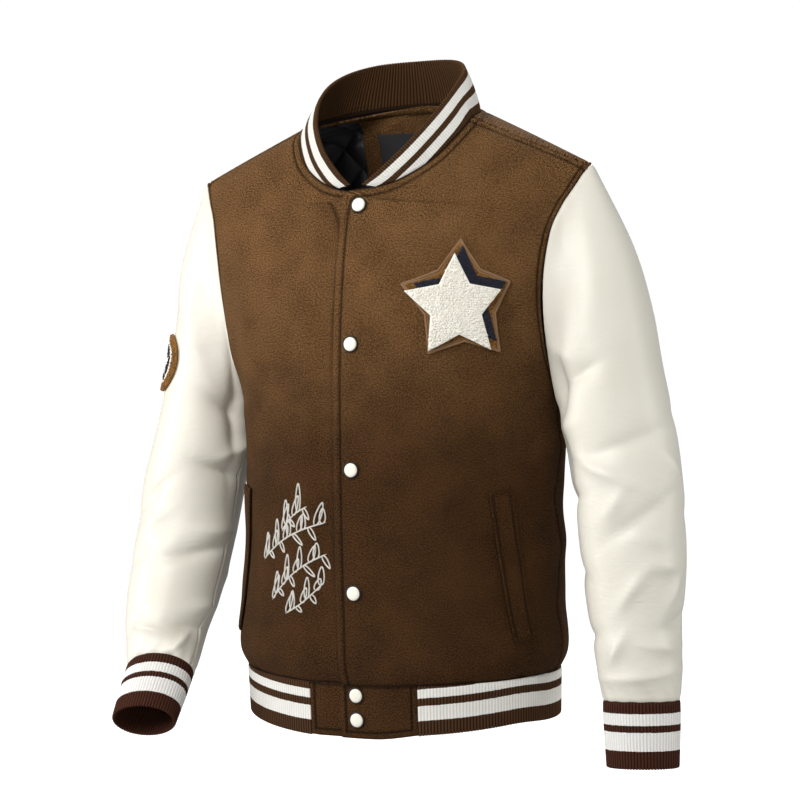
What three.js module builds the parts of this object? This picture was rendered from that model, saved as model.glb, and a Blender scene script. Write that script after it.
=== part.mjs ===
// Varsity jacket in its worn, hollow shape: wool body, coated-cloth sleeves, striped rib-knit trim.
// Millimetres, +Z up. The front faces -Y and the wearer's left is +X.
// The origin is the middle of the neck, level with the neck ends of the shoulder seams.
import * as THREE from 'three';

// Cloth thicknesses and gaps
const WOOL = 2.2;
const COATED = 1.6;
const KNIT = 2.0;
const LINING = 1.0;
const SEAM = 0.3;
const ARMHOLE_SEAM = 0.45;
const COLLAR_SEAM = 1.1;

// Front closure: the left front laps over the right one
const LAP = 15;
const UNDER_DEPTH = WOOL + 1.4;
const UNDER_FLAT = 24;
const UNDER_END = 50;

// Rib knit
const RIB_RISE = 0.9;
const HEM_RIB = 3.4;
const CUFF_RIB = 3.4;
const COLLAR_RIB = 3.0;
const HEM_BOTTOM = -646;
const HEM_RISE = 12;
const TAB_LEFT = 68;
const TAB_LAP = 18;
const TAB_RIGHT = 57;

// Roundness of the level sections: 1 is an ellipse, less is squarer
const SQUARE = 0.92;
const PANEL_ARC = 205;
const SLEEVE_TURN = 345;

// The wearer's right side hangs a little wider towards the hem
const RIGHT_FLARE = 0.08;
const FLARE_TOP = -430;
const FLARE_BOTTOM = -590;

// Rows of the panel charts that seams use
const UNDERARM_ROW = 5;
const NECK_ROW = 9;
const SHOULDER_ROW = 13;

// Mesh fineness
const SIDE_STEPS = 11;
const ARMHOLE_STEPS = 12;
const FRONT_COLUMNS = 11;
const BACK_COLUMNS = 18;
const SLEEVE_ROWS = 19;
// Mesh row of the back at which the neck opens, half-way up the armhole steps
const NECK_INDEX = SIDE_STEPS + ARMHOLE_STEPS / 2;

const DEGREE = Math.PI / 180;

// Half of a front, from the centre to the side seam or armhole, from the hem up to the shoulder seam.
// z, x and y are given at the inner (centre or neck) and outer (side or armhole) edge; wrap in degrees.
const FRONT = chart('zIn zOut xIn xOut yIn yOut wrap', [
  [-592, -586, 0, 172, -119, 8, 88],
  [-568, -562, 0, 181, -127, 8, 88],
  [-510, -510, 0, 179, -128, 8, 88],
  [-440, -440, 0, 179, -128, 8, 88],
  [-370, -370, 0, 181, -127, 8, 88],
  [-300, -300, 0, 182, -125, 8, 88],
  [-235, -245, 0, 187, -121, -32, 80],
  [-170, -185, 0, 190, -112, -48, 70],
  [-115, -130, 0, 198, -100, -46, 60],
  [-74, -98, 0, 208, -88, -34, 56],
  [-68, -80, 36, 217, -80, -24, 50],
  [-46, -68, 70, 223, -60, -17, 46],
  [-17, -60, 92, 228, -34, -11, 40],
  [0, -57, 99, 230, -10, -6, 30],
]);
const BACK = chart('zIn zOut xIn xOut yIn yOut wrap', [
  [-586, -586, 0, 172, 119, 8.6, 88],
  [-562, -562, 0, 181, 126, 8.6, 88],
  [-510, -510, 0, 179, 126, 8.6, 88],
  [-440, -440, 0, 179, 124, 8.6, 88],
  [-370, -370, 0, 181, 123, 8.6, 88],
  [-300, -300, 0, 182, 122, 8.6, 88],
  [-225, -240, 0, 184, 122, 52, 78],
  [-145, -175, 0, 189, 117, 62, 68],
  [-70, -118, 0, 199, 104, 56, 60],
  [22, -80, 0, 212, 86, 40, 56],
  [20, -66, 44, 220, 77, 26, 50],
  [14, -58, 76, 225, 52, 12, 46],
  [7, -55, 94, 229, 21, 2, 40],
  [0, -57, 99, 230, -9.4, -5.4, 30],
]);

// Sleeves: rings below the armhole. lean and forward in degrees; side and depth are the two radii.
const ARM_LEFT = chart('x y z lean forward side depth', [
  [225.5, 4, -216, 64, 0, 91, 60],
  [238, 4, -256, 50, 0, 73, 64],
  [246, 3, -299, 34, 0, 61, 64],
  [255, 1, -346, 16, 2, 58, 62],
  [262, -4, -400, 8, 4, 58, 60],
  [270, -10, -470, 6, 5, 54, 56],
  [274, -16, -540, 4, 5, 46, 50],
  [278, -19, -580, 3, 5, 43, 44],
  [280, -22, -606, 2, 5, 40, 36],
]);
const ARM_RIGHT = chart('x y z lean forward side depth', [
  [224, 4, -216, 66, 0, 90, 50],
  [230, 4, -256, 54, 0, 68, 52],
  [238, 3, -299, 36, 0, 57, 54],
  [247, 0, -346, 18, 4, 54, 58],
  [259, -6, -400, 6, 12, 56, 59],
  [262, -18, -446, 4, 20, 55, 55],
  [264, -40, -497, 3, 26, 53, 52],
  [264, -64, -545, 0, 30, 47, 45],
  [258, -82, -572, -5, 37, 43, 38],
  [252, -98, -590, -10, 46, 40, 31],
]);
// Cuffs: distance below the sleeve's end and shares of the last ring's two radii
const CUFF = chart('down side depth', [
  [0.4, 0.985, 0.96],
  [22, 0.985, 0.93],
  [67, 0.935, 0.86],
]);

// Top edge of the collar, from the back to its front point; seam is the place below it on the neckline,
// 0 at the back and 1 at the front.
const COLLAR_TOP = chart('seam x y z', [
  [0, 0, 74, 69],
  [0.17, 48, 60, 66],
  [0.33, 74, 28, 54],
  [0.45, 82, -8, 34],
  [0.6, 76, -42, 4],
  [0.74, 58, -68, -28],
  [0.85, 34, -83, -54],
  [0.925, 12, -90, -70],
]);
const NECK_SHOULDER = 0.45;

// Folds. across is mm round the piece: from the front centre past the side seam on the two sides of the
// body, from the back centre on the back, and from the underarm over the front on a sleeve. slant in
// degrees from level, reach and width are half sizes in mm, and rise is a ridge or, below 0, a trough.
const FOLDS_LEFT = folds([
  [100, -262, -12, 60, 22, -3],
  [160, -215, 88, 70, 18, -4],
  [57, -325, 88, 55, 20, -2.5],
  [196, -350, 14, 44, 16, 4],
  [190, -400, -12, 46, 17, -4.5],
  [200, -455, 12, 46, 18, 4],
  [192, -515, -10, 42, 17, -3.5],
  [150, -584, 90, 14, 7, -3],
  [92, -584, 84, 12, 8, -1.6],
]);
const FOLDS_RIGHT = folds([
  [185, -345, -20, 44, 15, -3.5],
  [150, -225, 82, 70, 18, -3],
  [120, -365, 14, 50, 20, -2.5],
  [200, -430, 12, 40, 18, -2.5],
  [200, -500, -12, 42, 18, 3],
  [28, -545, 70, 34, 12, -2],
  [110, -584, 88, 14, 8, -2],
]);
const FOLDS_BACK = folds([
  [-90, -250, 40, 60, 20, -3],
  [95, -235, -42, 56, 20, -3],
  [-120, -330, 18, 44, 18, 4],
  [120, -345, -16, 44, 18, 4],
  [-115, -400, 10, 44, 18, -4],
  [112, -420, -12, 44, 18, -4],
  [10, -480, 4, 70, 22, -3],
  [-60, -540, 12, 50, 18, 3],
  [70, -530, -8, 54, 18, 3],
  [0, -130, 90, 50, 26, -2],
  [-105, -580, 90, 14, 8, -2.4],
  [60, -580, 90, 14, 8, -2],
]);
const FOLDS_SLEEVE_LEFT = folds([
  [54, -246, -20, 24, 14, 3],
  [79, -270, 30, 26, 12, -5],
  [41, -324, 12, 24, 18, 4],
  [112, -341, 17, 52, 13, -4],
  [88, -370, -26, 28, 10, 5],
  [94, -402, 52, 22, 9, 3],
  [162, -367, -50, 22, 12, 4],
  [116, -418, 31, 42, 11, -4.5],
  [126, -438, -10, 18, 10, 2],
  [106, -486, 50, 28, 9, 4],
  [143, -466, -5, 22, 9, 4],
  [156, -492, 60, 22, 9, 3],
  [169, -525, 10, 24, 9, -5.5],
  [80, -550, 50, 22, 9, 4],
  [140, -548, -8, 26, 9, 3],
  [20, -400, 10, 40, 12, -4],
  [10, -470, -12, 36, 12, -3.5],
  [25, -540, 8, 34, 10, -3],
  [245, -330, -18, 50, 14, -4],
  [262, -385, 12, 46, 12, 4],
  [240, -440, -24, 44, 12, -4.5],
  [270, -500, 20, 38, 11, 4],
  [250, -560, -10, 40, 10, 3],
  [100, -578, 4, 60, 9, 2.5],
]);
const FOLDS_SLEEVE_RIGHT = folds([
  [37, -306, 29, 30, 12, -6],
  [11, -354, -20, 26, 13, 5],
  [29, -376, 15, 32, 11, -6],
  [23, -443, 10, 26, 12, 5],
  [41, -464, -5, 36, 10, -6],
  [8, -524, 6, 26, 11, 4],
  [22, -543, 10, 30, 9, -5],
  [109, -401, -37, 28, 11, -5],
  [116, -466, -30, 26, 10, -5],
  [113, -537, -35, 24, 9, -4],
  [87, -543, 8, 26, 8, 4],
  [42, -566, -40, 24, 8, 4],
  [100, -430, -34, 22, 10, 3],
  [60, -250, 20, 36, 18, -3],
  [250, -300, 16, 48, 14, -4],
  [262, -360, -14, 46, 12, 4],
  [245, -415, 20, 44, 12, -4.5],
  [268, -480, -20, 40, 11, 4],
  [250, -545, 12, 36, 10, -3.5],
]);

// Fastenings and what lies on the fronts, by height and mm from the centre
const SNAP_RADIUS = 7.6;
const SNAP_HEIGHTS = [-91, -235, -365, -493, -601, -627];
const SNAP_PROFILE = [[0, 0], [7.3, 0], [SNAP_RADIUS, 0.5], [7.4, 1.6], [6.5, 2], [3.6, 2.8], [0, 3]];
const WELT = { across: 137, up: -467, length: 158, width: 24, slant: 98, gap: 1.3, thick: 1.8 };
const STAR = { across: 97, up: -199, points: 5, radius: 54, hollow: 0.52, turn: 90 };
const BACKING_MARGIN = 7;
const SHADOW_SHIFT = 6;
const PATCH_FIRST_GAP = 0.9;
const PATCH_GAP = 1.3;
const DISC = { round: 142, up: -256, radius: 32, thick: 3 };
// Sheets inside the back, in rows and columns of its mesh: the lowest and highest row, the columns each
// side of the centre or neckline, and the depth under the back's outer face
const LINING_SHEET = {
  low: SIDE_STEPS, high: SIDE_STEPS + ARMHOLE_STEPS - 1, span: BACK_COLUMNS / 2 - 1,
  depth: WOOL + 0.6, thick: LINING,
};
const FACING = {
  low: NECK_INDEX - 1, high: SIDE_STEPS + ARMHOLE_STEPS - 1, span: 3,
  depth: WOOL + LINING + 1.1, thick: 1.2,
};
// The label by rows and columns of the mesh, on the facing
const LABEL = { low: 0.15, high: 0.85, span: 1.5, depth: WOOL + LINING + 2.9, thick: 0.6 };

// A chart: rows of numbers under named columns
function chart(columns, rows) {
  return { names: columns.split(' '), rows };
}

function folds(rows) {
  return rows.map(([across, up, slant, reach, width, rise]) => ({
    across, up, reach, width, rise, c: Math.cos(slant * DEGREE), s: Math.sin(slant * DEGREE),
  }));
}

// Reads a chart between its rows along a Catmull-Rom curve and returns the named values
function read({ names, rows }, at) {
  const last = rows.length - 1;
  const i = Math.min(Math.max(Math.floor(at), 0), last - 1);
  const f = at - i;
  const b = rows[i];
  const c = rows[i + 1];
  const a = i > 0 ? rows[i - 1] : b.map((v, k) => 2 * v - c[k]);
  const d = i < last - 1 ? rows[i + 2] : c.map((v, k) => 2 * v - b[k]);
  const values = {};
  names.forEach((name, k) => {
    const slope = c[k] - a[k];
    const bend = 2 * a[k] - 5 * b[k] + 4 * c[k] - d[k];
    const twist = 3 * b[k] - 3 * c[k] + d[k] - a[k];
    values[name] = b[k] + 0.5 * f * (slope + f * (bend + f * twist));
  });
  return values;
}

// Height of the fold relief at a place, in mm; turn is the length of one turn round a tube
function relief(list, across, up, turn = 0) {
  let sum = 0;
  for (const fold of list) {
    const away = across - fold.across;
    const a = turn ? away - turn * Math.round(away / turn) : away;
    const z = up - fold.up;
    const along = (a * fold.c + z * fold.s) / fold.reach;
    const over = (z * fold.c - a * fold.s) / fold.width;
    sum += fold.rise * Math.exp(-along * along - over * over);
  }
  return sum;
}

// Unit normal of a surface function (u, v) => point, on the side of u cross v
function normalOf(surface, u, v) {
  const step = 1e-3;
  const du = surface(u + step, v).sub(surface(u - step, v));
  const dv = surface(u, v + step).sub(surface(u, v - step));
  return du.cross(dv).normalize();
}

// A surface moved along its normal by a distance, which may be a function of u and v
function raised(surface, distance) {
  return (u, v) => {
    const by = typeof distance === 'function' ? distance(u, v) : distance;
    return surface(u, v).addScaledVector(normalOf(surface, u, v), by);
  };
}

// A panel's values at a row; just past the neck corner its inner edge starts level, as a mirrored curve
function readPanel(panel, at) {
  const values = read(panel, at);
  if (at <= NECK_ROW || at >= NECK_ROW + 1) return values;
  const next = panel.rows[NECK_ROW + 1];
  const before = panel.names.map((name, k) => (name === 'xIn' ? -next[k] : next[k]));
  const neck = read({ names: panel.names, rows: [before, ...panel.rows.slice(NECK_ROW)] }, at - NECK_ROW + 1);
  return { ...values, zIn: neck.zIn, xIn: neck.xIn, yIn: neck.yIn };
}

// A point of a half panel: u is 0 at the inner edge and 1 at the outer one, at is the chart's row
function panelPoint(panel, u, at) {
  const s = readPanel(panel, at);
  const full = s.wrap * DEGREE;
  const phi = Math.abs(u) * full;
  const out = (Math.sin(phi) / Math.sin(full)) ** SQUARE * Math.sign(u);
  const flat = Math.cos(full) ** SQUARE;
  const ahead = (Math.max(Math.cos(phi), 0) ** SQUARE - flat) / (1 - flat);
  const edge = at > NECK_ROW ? s.xIn : 0;
  // Side seams keep one depth up to the underarm
  if (at < UNDERARM_ROW) s.yOut = panel.rows[UNDERARM_ROW][5];
  return new THREE.Vector3(
    edge + (s.xOut - edge) * out,
    s.yOut + (s.yIn - s.yOut) * ahead,
    s.zIn + (s.zOut - s.zIn) * (at > NECK_ROW ? out : Math.abs(out)),
  );
}

// How far u goes past the centre for the lap at a row; above the neck corner the panel ends at u 0
function lapShare(at) {
  if (at > NECK_ROW) return 0;
  const s = read(FRONT, at);
  const full = s.wrap * DEGREE;
  return -Math.asin(Math.sin(full) * (LAP / s.xOut) ** (1 / SQUARE)) / full;
}

// A front by u and row, x mirrored on the right side, which runs under the left one at the centre
function frontSurface(side) {
  const list = side > 0 ? FOLDS_LEFT : FOLDS_RIGHT;
  const plain = (u, at) => onSide(panelPoint(FRONT, u, at), side);
  return raised(plain, (u, at) => {
    const point = panelPoint(FRONT, u, at);
    const under = side > 0 ? 0 : UNDER_DEPTH * fade(Math.abs(point.x), UNDER_FLAT, UNDER_END);
    return side * (relief(list, u * PANEL_ARC, point.z) - under);
  });
}

// A point of the left half taken to a side of the body, with the right side's flare
function onSide(point, side) {
  const flare = RIGHT_FLARE * fade(point.z, FLARE_BOTTOM, FLARE_TOP);
  point.x *= side > 0 ? 1 : -1 - flare;
  return point;
}

// 1 below start, 0 above end, a smooth step between
function fade(value, start, end) {
  const t = THREE.MathUtils.clamp((end - value) / (end - start), 0, 1);
  return t * t * (3 - 2 * t);
}

// The back by u (-1 right seam to 1 left seam) and row; u 0 is on the side that half names
function backSurface(u, at, half = 0) {
  const side = half || (u < 0 ? -1 : 1);
  const plain = (a, b) => onSide(panelPoint(BACK, a * side, b), side);
  const point = plain(u, at);
  const centre = relief(FOLDS_BACK, u * PANEL_ARC, point.z) * fade(Math.abs(u), 0.75, 0.98);
  const flank = relief(side > 0 ? FOLDS_LEFT : FOLDS_RIGHT, (2 - Math.abs(u)) * PANEL_ARC, point.z);
  const normal = normalOf(plain, u, at);
  if (Math.abs(u) < 1e-9 && at <= NECK_ROW) normal.x = 0;
  return point.addScaledVector(normal, -centre - flank);
}

// Rows of the chart that the panel meshes use: even steps below the underarm and above it
function panelRow(i) {
  if (i <= SIDE_STEPS) return UNDERARM_ROW * i / SIDE_STEPS;
  return UNDERARM_ROW + (SHOULDER_ROW - UNDERARM_ROW) * (i - SIDE_STEPS) / ARMHOLE_STEPS;
}

// The armhole by turn: 0 underarm, 0.25 front, 0.5 shoulder tip, 0.75 back
function armholePoint(turn) {
  const share = turn <= 0.5 ? turn * 2 : (1 - turn) * 2;
  const at = UNDERARM_ROW + (SHOULDER_ROW - UNDERARM_ROW) * share;
  return panelPoint(turn <= 0.5 ? FRONT : BACK, 1, at);
}

// Frame of an arm ring: centre, direction down the arm, outward and forward unit vectors
function armFrame(arm, at) {
  const s = read(arm, at);
  const lean = s.lean * DEGREE;
  const ahead = s.forward * DEGREE;
  const down = new THREE.Vector3(
    Math.sin(lean) * Math.cos(ahead), -Math.sin(ahead), -Math.cos(lean) * Math.cos(ahead));
  const out = new THREE.Vector3(Math.cos(lean), 0, Math.sin(lean));
  out.addScaledVector(down, -out.dot(down)).normalize();
  const front = new THREE.Vector3().crossVectors(out, down);
  if (front.y > 0) front.negate();
  return { s, down, out, front, centre: new THREE.Vector3(s.x, s.y, s.z) };
}

function ringPoint({ centre, out, front }, turn, side, depth) {
  const angle = turn * 2 * Math.PI;
  return centre.clone()
    .addScaledVector(out, -side * Math.cos(angle))
    .addScaledVector(front, depth * Math.sin(angle));
}

// A sleeve by turn and row, row 0 being the armhole
function sleeveSurface(arm, list, side) {
  const rows = arm.rows.length;
  const knot = (i, turn) => {
    if (i <= 0) return armholePoint(turn).add(new THREE.Vector3(ARMHOLE_SEAM, 0, 0));
    const frame = armFrame(arm, i - 1);
    return ringPoint(frame, turn, frame.s.side, frame.s.depth);
  };
  const plain = (turn, at) => {
    const t = Math.max(turn - Math.floor(turn + 1e-9), 0);
    const columns = [-1, 0, 1, 2].map((k) => {
      const i = Math.floor(Math.min(at, rows - 1e-6)) + k;
      if (i < 0) return knot(0, t).multiplyScalar(2).sub(knot(1, t));
      if (i > rows) return knot(rows, t).multiplyScalar(2).sub(knot(rows - 1, t));
      return knot(i, t);
    });
    const f = at - Math.floor(Math.min(at, rows - 1e-6));
    const cubic = chart('x y z', columns.map((p) => [p.x, p.y, p.z]));
    const s = read(cubic, 1 + f);
    return new THREE.Vector3(s.x * side, s.y, s.z);
  };
  return raised(plain, (turn, at) => {
    const point = plain(turn, at);
    const settled = THREE.MathUtils.clamp(Math.min(at, (rows - at) * 2), 0, 1);
    return -side * settled * relief(list, turn * SLEEVE_TURN, point.z, SLEEVE_TURN);
  });
}

// A grid of points from a surface function of two shares, columns across and rows up
function grid(rows, columns, point) {
  return Array.from({ length: rows + 1 }, (_, i) => (
    Array.from({ length: columns + 1 }, (__, j) => point(j / columns, i / rows, i, j))
  ));
}

// A closed mesh being put together
function newBody() {
  return { points: [], faces: [] };
}

function addRows(body, rows) {
  return rows.map((row) => row.map((point) => body.points.push(point) - 1));
}

// Triangles between two rows of point numbers that may differ in length
function join(body, lower, upper) {
  let i = 0;
  let j = 0;
  const a = lower.length - 1;
  const b = upper.length - 1;
  while (i < a || j < b) {
    if (j === b || (i < a && (i + 1) * b <= (j + 1) * a)) {
      body.faces.push([lower[i], lower[i + 1], upper[j]]);
      i += 1;
    } else {
      body.faces.push([lower[i], upper[j + 1], upper[j]]);
      j += 1;
    }
  }
}

// A wall between two grids with a rim on every side; left and right are the rows where the side rims
// start, and null leaves a side without one
function wallInto(body, outer, inner, { left = 0, right = 0 } = {}) {
  const o = addRows(body, outer);
  const n = addRows(body, inner);
  for (let i = 0; i + 1 < o.length; i += 1) join(body, o[i], o[i + 1]);
  for (let i = 0; i + 1 < n.length; i += 1) join(body, n[i + 1], n[i]);
  join(body, n[0], o[0]);
  join(body, o[o.length - 1], n[n.length - 1]);
  const column = (rows, k, from) => rows.slice(from).map((row) => row.at(k));
  if (left !== null) join(body, column(o, 0, left), column(n, 0, left));
  if (right !== null) join(body, column(n, -1, right), column(o, -1, right));
}

// A wall as a body of its own; a tube's rows end where they start, so it needs no side rims
function wall(outer, inner, tube = false) {
  const body = newBody();
  wallInto(body, outer, inner, tube ? { left: null, right: null } : {});
  return body;
}

// The body as a geometry: equal points become one, and its faces point out
function toGeometry({ points, faces }) {
  const numbers = new Map();
  const positions = [];
  const number = (k) => {
    const { x, y, z } = points[k];
    const key = [x, y, z].map((v) => Math.round(v * 1e4)).join(' ');
    if (!numbers.has(key)) {
      numbers.set(key, numbers.size);
      positions.push(x, y, z);
    }
    return numbers.get(key);
  };
  const volume = faces.reduce((sum, [a, b, c]) => (
    sum + points[a].dot(new THREE.Vector3().crossVectors(points[b], points[c]))
  ), 0);
  const turned = volume < 0 ? faces.map(([a, b, c]) => [a, c, b]) : faces;
  const numbered = turned.map((face) => face.map(number));
  const whole = numbered.filter(([a, b, c]) => a !== b && b !== c && c !== a);
  const geometry = new THREE.BufferGeometry();
  geometry.setIndex(whole.flat());
  geometry.setAttribute('position', new THREE.Float32BufferAttribute(positions, 3));
  geometry.computeVertexNormals();
  return geometry;
}

// Materials
const finish = (color, roughness, metalness = 0) => (
  new THREE.MeshStandardMaterial({ color, roughness, metalness })
);
const brownWool = () => finish(0x5a3c22, 0.95);
const creamCloth = () => finish(0xe6e2d6, 0.45);
const brownKnit = () => finish(0x4a3222, 0.9);
const creamCap = () => finish(0xf4efdd, 0.35);
const blackSatin = () => finish(0x17171c, 0.5);

const jacket = new THREE.Group();

function add(name, body, material) {
  const mesh = new THREE.Mesh(toGeometry(body), material);
  mesh.name = name;
  jacket.add(mesh);
}

// An inner point: the outer one moved in by the thickness, cut square where an edge meets its neighbour
function inward(surface, u, v, thick, sign, flats) {
  const normal = normalOf(surface, u, v).multiplyScalar(sign);
  if (flats.x) normal.x = 0;
  if (flats.y) normal.y = 0;
  if (flats.z) normal.z = 0;
  return surface(u, v).addScaledVector(normal.normalize(), -thick);
}

// Which parts of an edge's direction are cut square: the hem is level, side and shoulder seams meet
// front to back, and the armhole meets the sleeve sideways
function panelFlats(i, outerEdge) {
  return {
    x: outerEdge && i > SIDE_STEPS,
    y: i === SIDE_STEPS + ARMHOLE_STEPS || (outerEdge && i <= SIDE_STEPS),
    z: i === 0,
  };
}

// The two fronts
function addFront(name, side) {
  const surface = frontSurface(side);
  const rows = SIDE_STEPS + ARMHOLE_STEPS;
  const share = (a, i) => {
    const edge = lapShare(panelRow(i));
    return edge + (1 - edge) * (side > 0 ? a : 1 - a);
  };
  const outer = grid(rows, FRONT_COLUMNS, (a, _, i) => surface(share(a, i), panelRow(i)));
  const inner = grid(rows, FRONT_COLUMNS, (a, _, i) => {
    const u = share(a, i);
    return inward(surface, u, panelRow(i), WOOL, side, panelFlats(i, u > 0.999));
  });
  add(name, wall(outer, inner), brownWool());
}

// The back, and the sheets that lie inside it
function addBack() {
  const rows = SIDE_STEPS + ARMHOLE_STEPS;
  const body = newBody();
  for (const side of [1, -1]) {
    const surface = (u, at) => backSurface(u, at, side);
    const share = (a) => (side > 0 ? 1 - a : -a);
    const outer = grid(rows, BACK_COLUMNS / 2, (a, _, i) => surface(share(a), panelRow(i)));
    const inner = grid(rows, BACK_COLUMNS / 2, (a, _, i) => {
      const u = share(a);
      const flats = panelFlats(i, Math.abs(u) > 0.999);
      flats.x ||= Math.abs(u) < 1e-9 && i <= NECK_INDEX;
      return inward(surface, u, panelRow(i), WOOL, -1, flats);
    });
    wallInto(body, outer, inner, { left: side > 0 ? 0 : NECK_INDEX, right: side > 0 ? NECK_INDEX : 0 });
  }
  add('back', body, brownWool());
}

// The chart row at which a panel reaches a height
function rowAtHeight(surface, u, z) {
  let low = 0;
  let high = SHOULDER_ROW;
  for (let k = 0; k < 40; k += 1) {
    const middle = (low + high) / 2;
    if (surface(u, middle).z < z) low = middle;
    else high = middle;
  }
  return (low + high) / 2;
}

// The sleeves
function addSleeve(name, arm, list, side) {
  const surface = sleeveSurface(arm, list, side);
  const columns = 2 * ARMHOLE_STEPS;
  const last = arm.rows.length;
  const at = (v) => last * v;
  const outer = grid(SLEEVE_ROWS, columns, (a, v) => surface(a, at(v)));
  const inner = grid(SLEEVE_ROWS, columns, (a, v, i) => (
    inward(surface, a, at(v), COATED, -side, { x: i === 0 })
  ));
  add(name, wall(outer, inner, true), creamCloth());
}

// Parameters that split a curve into equal lengths
function evenly(pointAt, start, end, count) {
  const fine = 400;
  const lengths = [0];
  let before = pointAt(start);
  for (let k = 1; k <= fine; k += 1) {
    const here = pointAt(start + (end - start) * k / fine);
    lengths.push(lengths[k - 1] + here.distanceTo(before));
    before = here;
  }
  const total = lengths[fine];
  let k = 0;
  return Array.from({ length: count + 1 }, (_, i) => {
    const wanted = total * i / count;
    while (k < fine - 1 && lengths[k + 1] < wanted) k += 1;
    const part = (wanted - lengths[k]) / (lengths[k + 1] - lengths[k]);
    return start + (end - start) * (k + Math.min(part, 1)) / fine;
  });
}

function lengthOf(pointAt, start, end) {
  const steps = 400;
  let sum = 0;
  for (let k = 0; k < steps; k += 1) {
    const a = pointAt(start + (end - start) * k / steps);
    sum += a.distanceTo(pointAt(start + (end - start) * (k + 1) / steps));
  }
  return sum;
}

// A knit band from a surface function (t, v): ribs in the outer points, every other column raised,
// over a plain inner face with fewer columns
function knitBand(surface, sign, places, rows, innerColumns, tube) {
  const columns = places.length - 1;
  const outer = grid(rows, columns, (_, v, i, j) => (
    surface(places[j], v).addScaledVector(normalOf(surface, places[j], v), sign * RIB_RISE * (j % 2))
  ));
  const inner = grid(rows, innerColumns, (a, v) => {
    const t = places[Math.round(a * columns)];
    return surface(t, v).addScaledVector(normalOf(surface, t, v), -sign * KNIT);
  });
  return wall(outer, inner, tube);
}

// The neckline by place: 0 the back, NECK_SHOULDER the shoulder seam, 1 the front, mirrored below 0
function necklinePoint(place) {
  const n = Math.abs(place);
  const upper = SHOULDER_ROW - NECK_ROW;
  const point = n < NECK_SHOULDER
    ? panelPoint(BACK, 0, NECK_ROW + upper * n / NECK_SHOULDER)
    : panelPoint(FRONT, 0, SHOULDER_ROW - upper * (n - NECK_SHOULDER) / (1 - NECK_SHOULDER));
  point.x *= Math.sign(place) || 1;
  return point;
}

// The collar by place along its top edge (right point -1, back 0, left point 1) and share of its height
function collarSurface(t, v) {
  const rows = COLLAR_TOP.rows.length - 1;
  const mirror = t < 0 ? -1 : 1;
  const s = read(mirrored(COLLAR_TOP), rows + Math.abs(t) * rows);
  const top = new THREE.Vector3(s.x * mirror, s.y, s.z);
  const foot = necklinePoint(s.seam);
  foot.x *= mirror;
  const stand = top.clone().sub(foot);
  foot.addScaledVector(stand.clone().normalize(), COLLAR_SEAM);
  const bulge = Math.sin(v * Math.PI) * 1.5;
  const point = foot.lerp(top, v);
  return point.add(new THREE.Vector3(point.x, point.y, 0).normalize().multiplyScalar(bulge));
}

// A half chart with its mirror image before it, so that curves cross the centre smoothly
function mirrored({ names, rows }) {
  const odd = names.map((name) => (name === 'x' || name === 'seam' ? -1 : 1));
  const left = rows.slice(1).reverse().map((row) => row.map((v, k) => v * odd[k]));
  return { names, rows: [...left, ...rows] };
}

function addCollar() {
  const top = (t) => collarSurface(t, 1);
  const ribs = Math.round(lengthOf(top, -1, 1) / COLLAR_RIB);
  const places = evenly(top, -1, 1, 2 * ribs);
  add('collar', knitBand(collarSurface, 1, places, 2, 56, false), brownKnit());
}

// The hem line by quarter: 0 front centre, 1 left side, 2 back centre, 3 right side, 4 front centre
function hemPoint(quarter) {
  const q = (quarter + 4) % 4;
  if (q < 1) return panelPoint(FRONT, q, 0);
  if (q < 2) return panelPoint(BACK, 2 - q, 0);
  return onSide(q < 3 ? panelPoint(BACK, q - 2, 0) : panelPoint(FRONT, 4 - q, 0), -1);
}

// The band below the hem line, v 0 at its lower edge, which is lowest at the front centre
function hemSurface(inset = () => 0) {
  return (quarter, v) => {
    const point = hemPoint(quarter);
    const out = new THREE.Vector3(point.x, point.y * 1.9, 0).normalize();
    const narrow = 1.5 * (1 - v);
    const low = HEM_BOTTOM + HEM_RISE * (point.y > 0 ? 1 : 1 - (point.y / FRONT.rows[0][4]) ** 2);
    point.z = THREE.MathUtils.lerp(low, point.z - SEAM, v);
    return point.addScaledVector(out, -narrow - inset(point));
  };
}

// The place on the hem line at a distance in mm from the front centre
function hemPlace(distance) {
  const fine = 1e-3;
  const way = Math.sign(distance);
  let place = 0;
  for (let sum = 0; sum < Math.abs(distance); place += way * fine) {
    sum += hemPoint(place).distanceTo(hemPoint(place + way * fine));
  }
  return place;
}

function addHem() {
  const start = hemPlace(TAB_LEFT + SEAM);
  const end = 4 + hemPlace(-TAB_RIGHT - SEAM);
  const ribs = Math.round(lengthOf(hemPoint, start, end) / HEM_RIB);
  const places = evenly(hemPoint, start, end, 2 * ribs);
  add('hem_band', knitBand(hemSurface(), 1, places, 1, 54, false), brownKnit());
}

function addTab(name, from, to, inset) {
  const surface = hemSurface(inset);
  const [start, end] = [hemPlace(from), hemPlace(to)];
  const places = (a) => start + (end - start) * a;
  const outer = grid(2, 8, (a, v) => surface(places(a), v));
  const inner = grid(2, 8, (a, v) => {
    const normal = normalOf(surface, places(a), v);
    return surface(places(a), v).addScaledVector(normal, -WOOL);
  });
  add(name, wall(outer, inner), brownWool());
}

// The cuffs
function addCuff(name, arm, side) {
  const frame = armFrame(arm, arm.rows.length - 1);
  const surface = (turn, v) => {
    const s = read(CUFF, (CUFF.rows.length - 1) * (1 - v));
    const point = ringPoint(frame, turn, s.side * frame.s.side, s.depth * frame.s.depth)
      .addScaledVector(frame.down, s.down);
    point.x *= side;
    return point;
  };
  const top = (turn) => surface(turn, 1);
  const ribs = Math.round(lengthOf(top, 0, 1) / CUFF_RIB);
  const places = evenly(top, 0, 1, 2 * ribs);
  add(name, knitBand(surface, side, places, 2, 24, true), brownKnit());
}

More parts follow.
